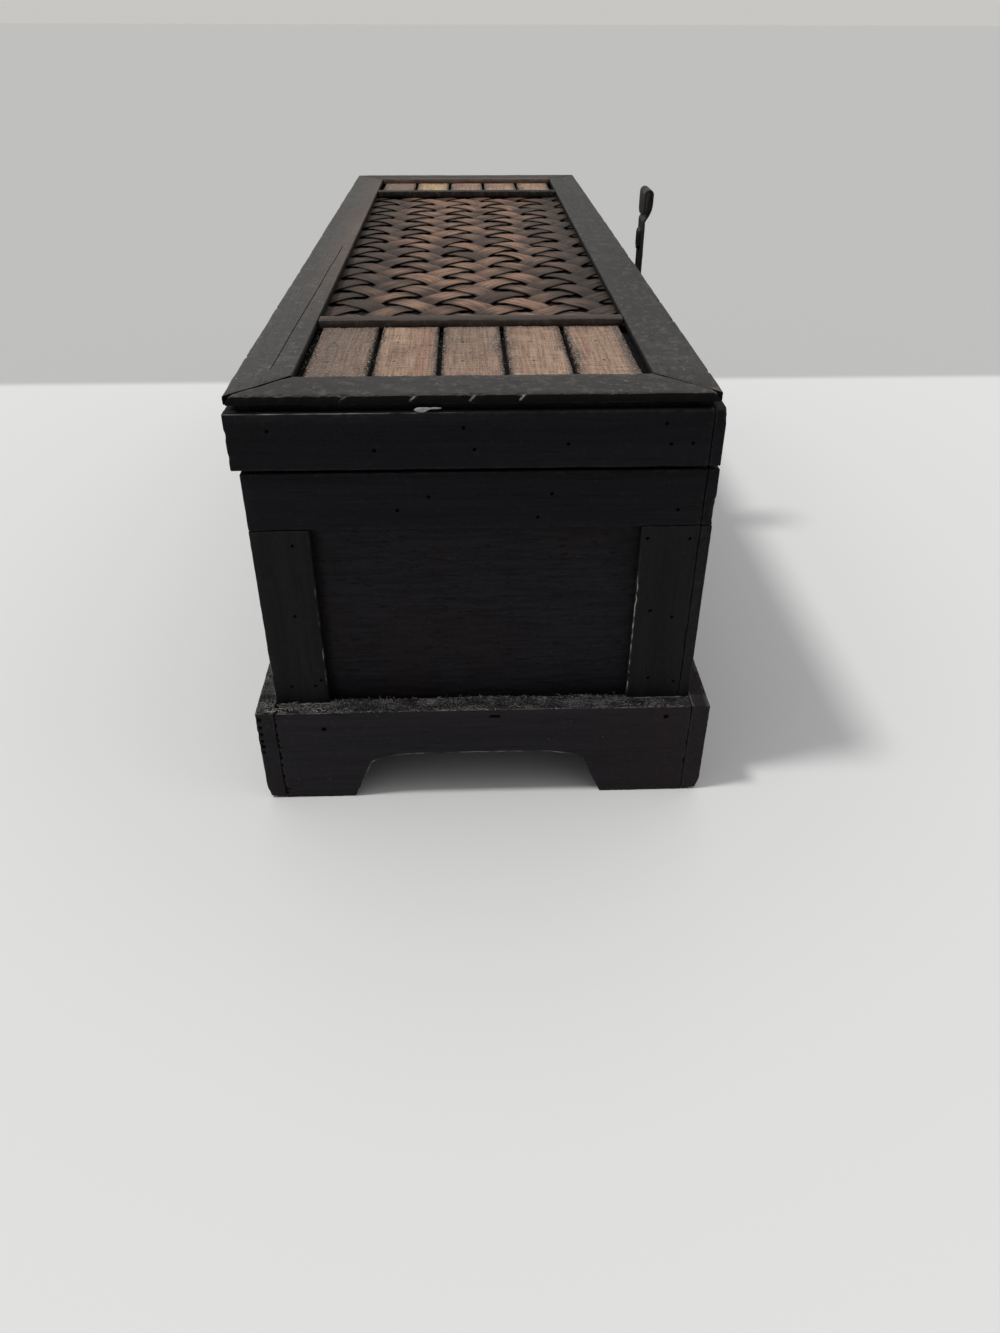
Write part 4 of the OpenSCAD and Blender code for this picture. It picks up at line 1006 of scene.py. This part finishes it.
def sheet_mesh():
    """The arm's sheet: a grid, less the cells outside its outline and in the slot."""
    line, s = arm_line()
    v = [np.linspace(-ARM_W / 2, ARM_W / 2, 25), [-KNUCKLE_W / 2, KNUCKLE_W / 2], np.linspace(-1.4, 1.4, 9)]
    v = np.unique(np.round(np.concatenate(v), 3))
    ss, vv = np.meshgrid(s, v, indexing="ij")
    tangent = np.gradient(line, axis=0)
    tangent /= np.linalg.norm(tangent, axis=1, keepdims=True)
    mid_s, mid_v = (ss[:-1, :-1] + ss[1:, 1:]) / 2, (vv[:-1, :-1] + vv[1:, 1:]) / 2
    kept = slot_distance(mid_s, mid_v) > 0
    kept &= ~((mid_s < NECK_L) & (np.abs(mid_v) > KNUCKLE_W / 2))
    kept &= ~(np.hypot(np.maximum(mid_s - (s[-1] - TIP_ROUND), 0),
                       np.maximum(np.abs(mid_v) - (ARM_W / 2 - TIP_ROUND), 0)) > TIP_ROUND)
    distance = slot_distance(ss, vv)
    used = np.zeros(ss.shape, int)
    for a in (0, 1):
        for b in (0, 1):
            used[a:used.shape[0] - 1 + a, b:used.shape[1] - 1 + b] += kept
    # Points beside the slot move onto its outline
    rim = (used > 0) & (used < 4) & (np.abs(distance) < 0.5)
    step = 1e-3
    ds = (slot_distance(ss + step, vv) - distance) / step
    dv = (slot_distance(ss, vv + step) - distance) / step
    out_s, out_v = ss - np.where(rim, distance * ds, 0), vv - np.where(rim, distance * dv, 0)
    px, pz, tx, tz = (np.interp(out_s, s, row) for row in (*line.T, *tangent.T))
    rough = 0.07 * noise(np.stack([px.ravel(), out_v.ravel(), pz.ravel()], axis=1), 2.2, 3).reshape(ss.shape)
    thick = SHEET / 2 - 0.16 * ease(np.minimum(ARM_W / 2 - np.abs(out_v), 0.5), 0.5, 0.0)
    y = HASP_Y + out_v * (1 - 0.01 * rough)
    layers = [np.stack([px + tz * off, y, pz - tx * off], axis=-1).reshape(-1, 3)
              for off in (thick + rough, rough - thick)]
    n, m = ss.shape
    faces, walls = [], {}
    for loop in grid_faces(np.arange(n * m).reshape(n, m))[kept.ravel()].tolist():
        faces += [loop[::-1], [k + n * m for k in loop]]
        for a, b in zip(loop, loop[1:] + loop[:1]):
            if (b, a) in walls:
                del walls[(b, a)]
            else:
                walls[(a, b)] = True
    faces += [[a, b, b + n * m, a + n * m] for a, b in walls]
    points = np.concatenate(layers)
    points[:, Z] = np.minimum(points[:, Z], span("hasp_arm")[1][Z] - 0.01)
    live, faces = np.unique(faces, return_inverse=True)
    return points[live], faces.reshape(-1, 4).tolist()


def slot_rim():
    """The raised rim: a profile of (outwards, height), carried round the slot."""
    h = SLOT_RIM_H + 0.1
    out, up = np.array([(0.02, -0.1), (0.02, h - 0.35), (0.25, h), (0.6, h - 0.12), (0.95, h * 0.5),
                        (SLOT_RIM, 0.05), (SLOT_RIM, -0.1)]).T
    rings = []
    for end, start in ((1, -90), (-1, 90)):
        for a in np.radians(np.linspace(start, start + 180, 13)):
            rings.append(np.stack([
                ARM_X - SHEET / 2 + 0.1 - up, HASP_Y + math.sin(a) * (SLOT_W / 2 + out),
                PIN_Z + SLOT_MID + end * (SLOT_L - SLOT_W) / 2 + math.cos(a) * (SLOT_W / 2 + out)], axis=1))
    points = np.concatenate(rings)
    points[:, X] += 0.08 * noise(points, 1.2, 4)
    index = np.arange(len(points)).reshape(len(rings), len(out))
    return points, grid_faces(np.pad(index, ((0, 1), (0, 1)), mode="wrap"))[:, [0, 3, 2, 1]].tolist()


def knuckle(bevel=0.2, around=40):
    """A round bar along Y with softened ends."""
    half = KNUCKLE_W / 2
    turn = np.linspace(0, 2 * math.pi, around, endpoint=False)
    rings = []
    for y, r in ((-half, 1e-3), (-half, KNUCKLE_R - bevel), (bevel - half, KNUCKLE_R),
                 (half - bevel, KNUCKLE_R), (half, KNUCKLE_R - bevel), (half, 1e-3)):
        x, z = PIN_X + r * np.cos(turn), PIN_Z + r * np.sin(turn)
        rings.append(np.stack([x, np.full(around, HASP_Y + y), z], axis=1))
    return np.concatenate(rings), tube_faces(len(rings), around)


points, faces = joined([sheet_mesh(), slot_rim(), knuckle()])
build("hasp_arm_iron", points, faces, looks["iron"], "hasp", ["hasp_arm"])

# Lint and fibres on the torn ledge, crumbs beside the slats and a drop of glue


def fibre(start, heading, length, radius, curl, rng, lift):
    """A thin bent thread: a three-sided tube."""
    count = 7
    p = np.array(start, float)
    angle = heading
    spine = [p]
    for _ in range(count):
        angle += rng.uniform(-curl, curl)
        p = p + length / count * np.array([math.cos(angle), math.sin(angle), lift * rng.uniform(-0.8, 1.0)])
        spine.append(p)
    spine = np.array(spine)
    spine[:, Z] = np.maximum(spine[:, Z], start[Z])
    points = []
    for k, q in enumerate(spine):
        r = radius * (1 - 0.6 * k / count)
        d = spine[min(k + 1, count)] - spine[max(k - 1, 0)]
        d /= max(np.linalg.norm(d), 1e-6)
        side = np.cross(d, [0, 0, 1])
        side /= max(np.linalg.norm(side), 1e-6)
        up = np.cross(side, d)
        points += [q + r * (math.cos(a) * side + math.sin(a) * up) for a in np.radians((90, 210, 330))]
    return np.array(points), tube_faces(count + 1, 3)


def scattered(count, xs, ys, down, lengths, curl=0.7, lift=0.3, radii=(0.025, 0.06)):
    """Fibres at chance places in a rectangle, this far below the ledge's top."""
    return [fibre((rng.uniform(*xs), rng.uniform(*ys), BASE_TOP - down), rng.uniform(0, 6.28),
                  rng.uniform(*lengths), rng.uniform(*radii), curl, rng, lift) for _ in range(count)]


rng = random.Random(7)
points, faces = joined([thread for group in (
    (150, (-57, 57), (NEAR + 0.1, NEAR + 0.6), 0.2, (0.4, 1.4)),
    (40, (-61, -40), (NEAR + 0.5, BOX_NEAR), 0.1, (0.8, 2.6), 0.6),
    (70, (base_low[X] + 0.3, -BOX_SIDE - 0.3), (BOX_NEAR, -60), 0.2, (0.5, 2.0)),
    (90, (-42, 38), (BOX_NEAR + 0.3, BOX_NEAR + 1.3), 0.05, (0.5, 1.7), 0.8, 0.5),
    (24, (-61, -43), (NEAR + 0.5, NEAR + 4.6), 0, (1.6, 4.2), 0.9, 0.35, (0.05, 0.09)),
    (16, (-38, 12), (NEAR + 0.3, NEAR + 1.6), 0, (1.0, 3.0), 0.8, 0.3, (0.04, 0.07)),
    (9, (38, 56), (NEAR + 0.3, NEAR + 2.0), 0, (1.0, 2.4), 0.8, 0.3, (0.04, 0.07)),
) for thread in scattered(*group)])
for axis in (X, Y):
    points[:, axis] = np.clip(points[:, axis], base_low[axis] + 0.05, base_high[axis] - 0.05)
build("ledge_lint", points, faces, looks["lint"], "box")


def torn_mat():
    """A torn mat of fibres and dust that fills the slot between the near base board and the wall; where it
    drops into the slot it is painted black as shade.
    """
    first, last = span("stile_left_back")[1][X], span("stile_left_front")[0][X]
    xx, aa = np.meshgrid(np.linspace(first + 0.05, last - 0.05, 150), np.linspace(0, 1, 14), indexing="ij")
    flat = np.stack([xx.ravel(), 4 * aa.ravel(), 0 * aa.ravel()], axis=1)

    def along(size, seed):
        return noise(flat * [1, 0, 0], size, seed).reshape(xx.shape)

    edge = BOX_NEAR - 0.9 + 0.4 * along(6.0, 71) + 0.35 * along(1.3, 74)
    yy = edge + aa * (span("wall_left")[0][Y] - 0.03 - edge)
    wide = BOX_NEAR + 1.25 + 0.35 * along(9.0, 73)
    drop = ease(yy, wide - 0.3, wide + 0.3)
    top = BASE_TOP - 0.02 + 0.16 * noise(flat, (0.9, 0.5, 1), 72).reshape(xx.shape) - 1.9 * drop
    top -= 0.2 * ease(aa, 0.08, 0.0)
    points = np.concatenate([np.stack([xx, yy, top - down], axis=-1).reshape(-1, 3) for down in (0.0, 0.25)])
    # Painted shade: black where the mat drops into the slot
    black_and_shade = np.tile(drop.ravel(), 2)
    return points, slab_faces(*xx.shape), {"torn": 0.85 * (1 - black_and_shade), "black_and_shade": black_and_shade}


points, faces, attributes = torn_mat()
build("ledge_mat", points, faces, looks["base_x"], "box", (), attributes)


def crumbs(places, sizes, seed, uneven=0.35, rings=5, around=7):
    """Small uneven lumps."""
    a = math.pi * (np.arange(rings) + 0.5)[:, None] / rings
    b = 2 * math.pi * np.arange(around)[None, :] / around
    ball = np.stack([np.sin(a) * np.cos(b), np.sin(a) * np.sin(b), np.cos(a) + 0 * b], axis=-1).reshape(-1, 3)
    faces = tube_faces(rings, around)
    meshes = []
    for k, (place, size) in enumerate(zip(places, sizes)):
        lump = ball * (1 + uneven * noise(ball + k * 5.0, 0.7, seed))[:, None]
        meshes.append((lump * np.array(size) + np.array(place), faces))
    return joined(meshes)


slat_boxes = sorted(loose_parts("slats_left"), key=lambda box: box[0][X])
slat_top = slat_boxes[0][1][Z]
slat_edge = slat_boxes[0][0][X]
places = [(slat_edge - rng.uniform(0.1, 1.1), rng.uniform(-164, -118), slat_top - rng.uniform(0.0, 1.2))
          for _ in range(60)]
places += [(high[X] + rng.uniform(0.1, 0.9), rng.uniform(-163, -118), slat_top - rng.uniform(0.1, 1.0))
           for low, high in slat_boxes[:-1] for _ in range(7)]
points, faces = crumbs(places, [rng.uniform(0.06, 0.17) for _ in places], 5)
build("slat_crumbs", points, faces, looks["crumb"], "lid")

rim_top = span("rim_left")[1][Z]
# A round blob with a flat tail to its right
lobes = [((-13.9, -181.15, rim_top + 0.5), (1.5, 0.35, 0.6)),
         ((-12.9, -181.1, rim_top + 0.75), (1.3, 0.3, 0.35)),
         ((-10.6, -181.1, rim_top + 0.85), (1.5, 0.25, 0.2))]
points, faces = crumbs(*zip(*lobes), 6, uneven=0.15, rings=12, around=20)
build("glue_drop", points, faces, looks["glue"], "lid")

# The other CAD nodes keep their shape and take their material

for node, obj in frame["nodes"].items():
    if node.startswith(("wall_", "lid_wall_")):
        look = looks["ply_y" if node.endswith(("front", "back")) else "ply_x"]
    elif node in ("bottom", "lid_panel", "lid_packing"):
        look = looks["ply_y"]
    else:
        look = looks["brad" if node.startswith("brads_") else "iron"]
    obj.data.materials.clear()
    obj.data.materials.append(look)

# Floor, light and camera

# The floor reaches this many metres. Its grey changes from the near one to the far one over the fade, which
# is in millimetres along Y
FLOOR_SIZE = 30.0
FLOOR_NEAR, FLOOR_FAR, FLOOR_FADE = (0.775, 0.773, 0.755), (0.53, 0.525, 0.51), (192.0, 204.0)
SUN_FROM, SUN_STRENGTH, SUN_SPREAD = (-0.57, -0.09, 1.0), 1.45, math.radians(8)
SKY_LIT, SKY_SEEN = (0.97, 0.98, 1.0, 1.0), (0.575, 0.568, 0.547, 1.0)
# The camera's place is in metres, and its lens and sensor are in millimetres
CAMERA_PLACE, CAMERA_LENS, SENSOR_WIDTH = (-0.00315, -0.39635, 0.1903), 25.63, 36.0
PITCH_A, YAW_A, ROLL_A = (math.radians(a) for a in (-34.52, -2.06, -0.15))

mesh = bpy.data.meshes.new("floor")
mesh.from_pydata([(x * FLOOR_SIZE, y * FLOOR_SIZE, 0) for x, y in ((-1, -1), (1, -1), (1, 1), (-1, 1))],
                 [], [(0, 1, 2, 3)])
look = new_look("pale_floor")
look.colour = look.mix(look.fit(look.part(Y), *FLOOR_FADE), FLOOR_NEAR, FLOOR_FAR)
mesh.materials.append(look.finish(0.85, 0.1))
floor = bpy.data.objects.new("floor", mesh)
bpy.context.scene.collection.objects.link(floor)

light = bpy.data.lights.new("key", "SUN")
light.energy = SUN_STRENGTH
light.angle = SUN_SPREAD
back = Vector(SUN_FROM).normalized()
right = Vector((0, 1, 0)).cross(back).normalized()
turn = Matrix((right, back.cross(right), back)).transposed()
key = bpy.data.objects.new("key", light)
key.matrix_world = Matrix.Translation((0, 0, 1)) @ turn.to_4x4()
bpy.context.scene.collection.objects.link(key)

world = bpy.data.worlds.new("world")
bpy.context.scene.world = world
sky = Nodes(world, "Generated")
# The light is brighter from above than from the sides, and dimmer on the viewer's side
upwards, away = sky.part(Z, 1.0), sky.part(Y, 1.0)
strength = sky.times(sky.fit(upwards, 0.0, 0.6, 0.25, 0.8), sky.fit(away, -0.9, 0.1, 0.3, 1.0))
lit, seen = (sky.node("ShaderNodeBackground", {"Color": colour, "Strength": value}).outputs[0]
             for colour, value in ((SKY_LIT, strength), (SKY_SEEN, 1.0)))
rays = sky.node("ShaderNodeLightPath").outputs
shown = rays["Is Camera Ray"]
for kind in ("Is Glossy Ray", "Is Transmission Ray"):
    shown = sky.math("MAXIMUM", shown, rays[kind])
either = sky.node("ShaderNodeMixShader", {0: shown, 1: lit, 2: seen})
sky.node("ShaderNodeOutputWorld", {0: either.outputs[0]})

turn = Matrix.Rotation(YAW_A, 3, "Z") @ Matrix.Rotation(PITCH_A, 3, "X") @ Matrix.Rotation(ROLL_A, 3, "Y")
right, forward, up = turn.col
camera = bpy.data.cameras.new("camera")
camera.lens, camera.sensor_width = CAMERA_LENS, SENSOR_WIDTH
camera.clip_start, camera.clip_end = 0.01, 20.0
viewer = bpy.data.objects.new("camera", camera)
viewer.matrix_world = Matrix.Translation(CAMERA_PLACE) @ Matrix((right, up, -forward)).transposed().to_4x4()
bpy.context.scene.collection.objects.link(viewer)
bpy.context.scene.camera = viewer

bpy.context.scene.view_settings.view_transform = "Standard"
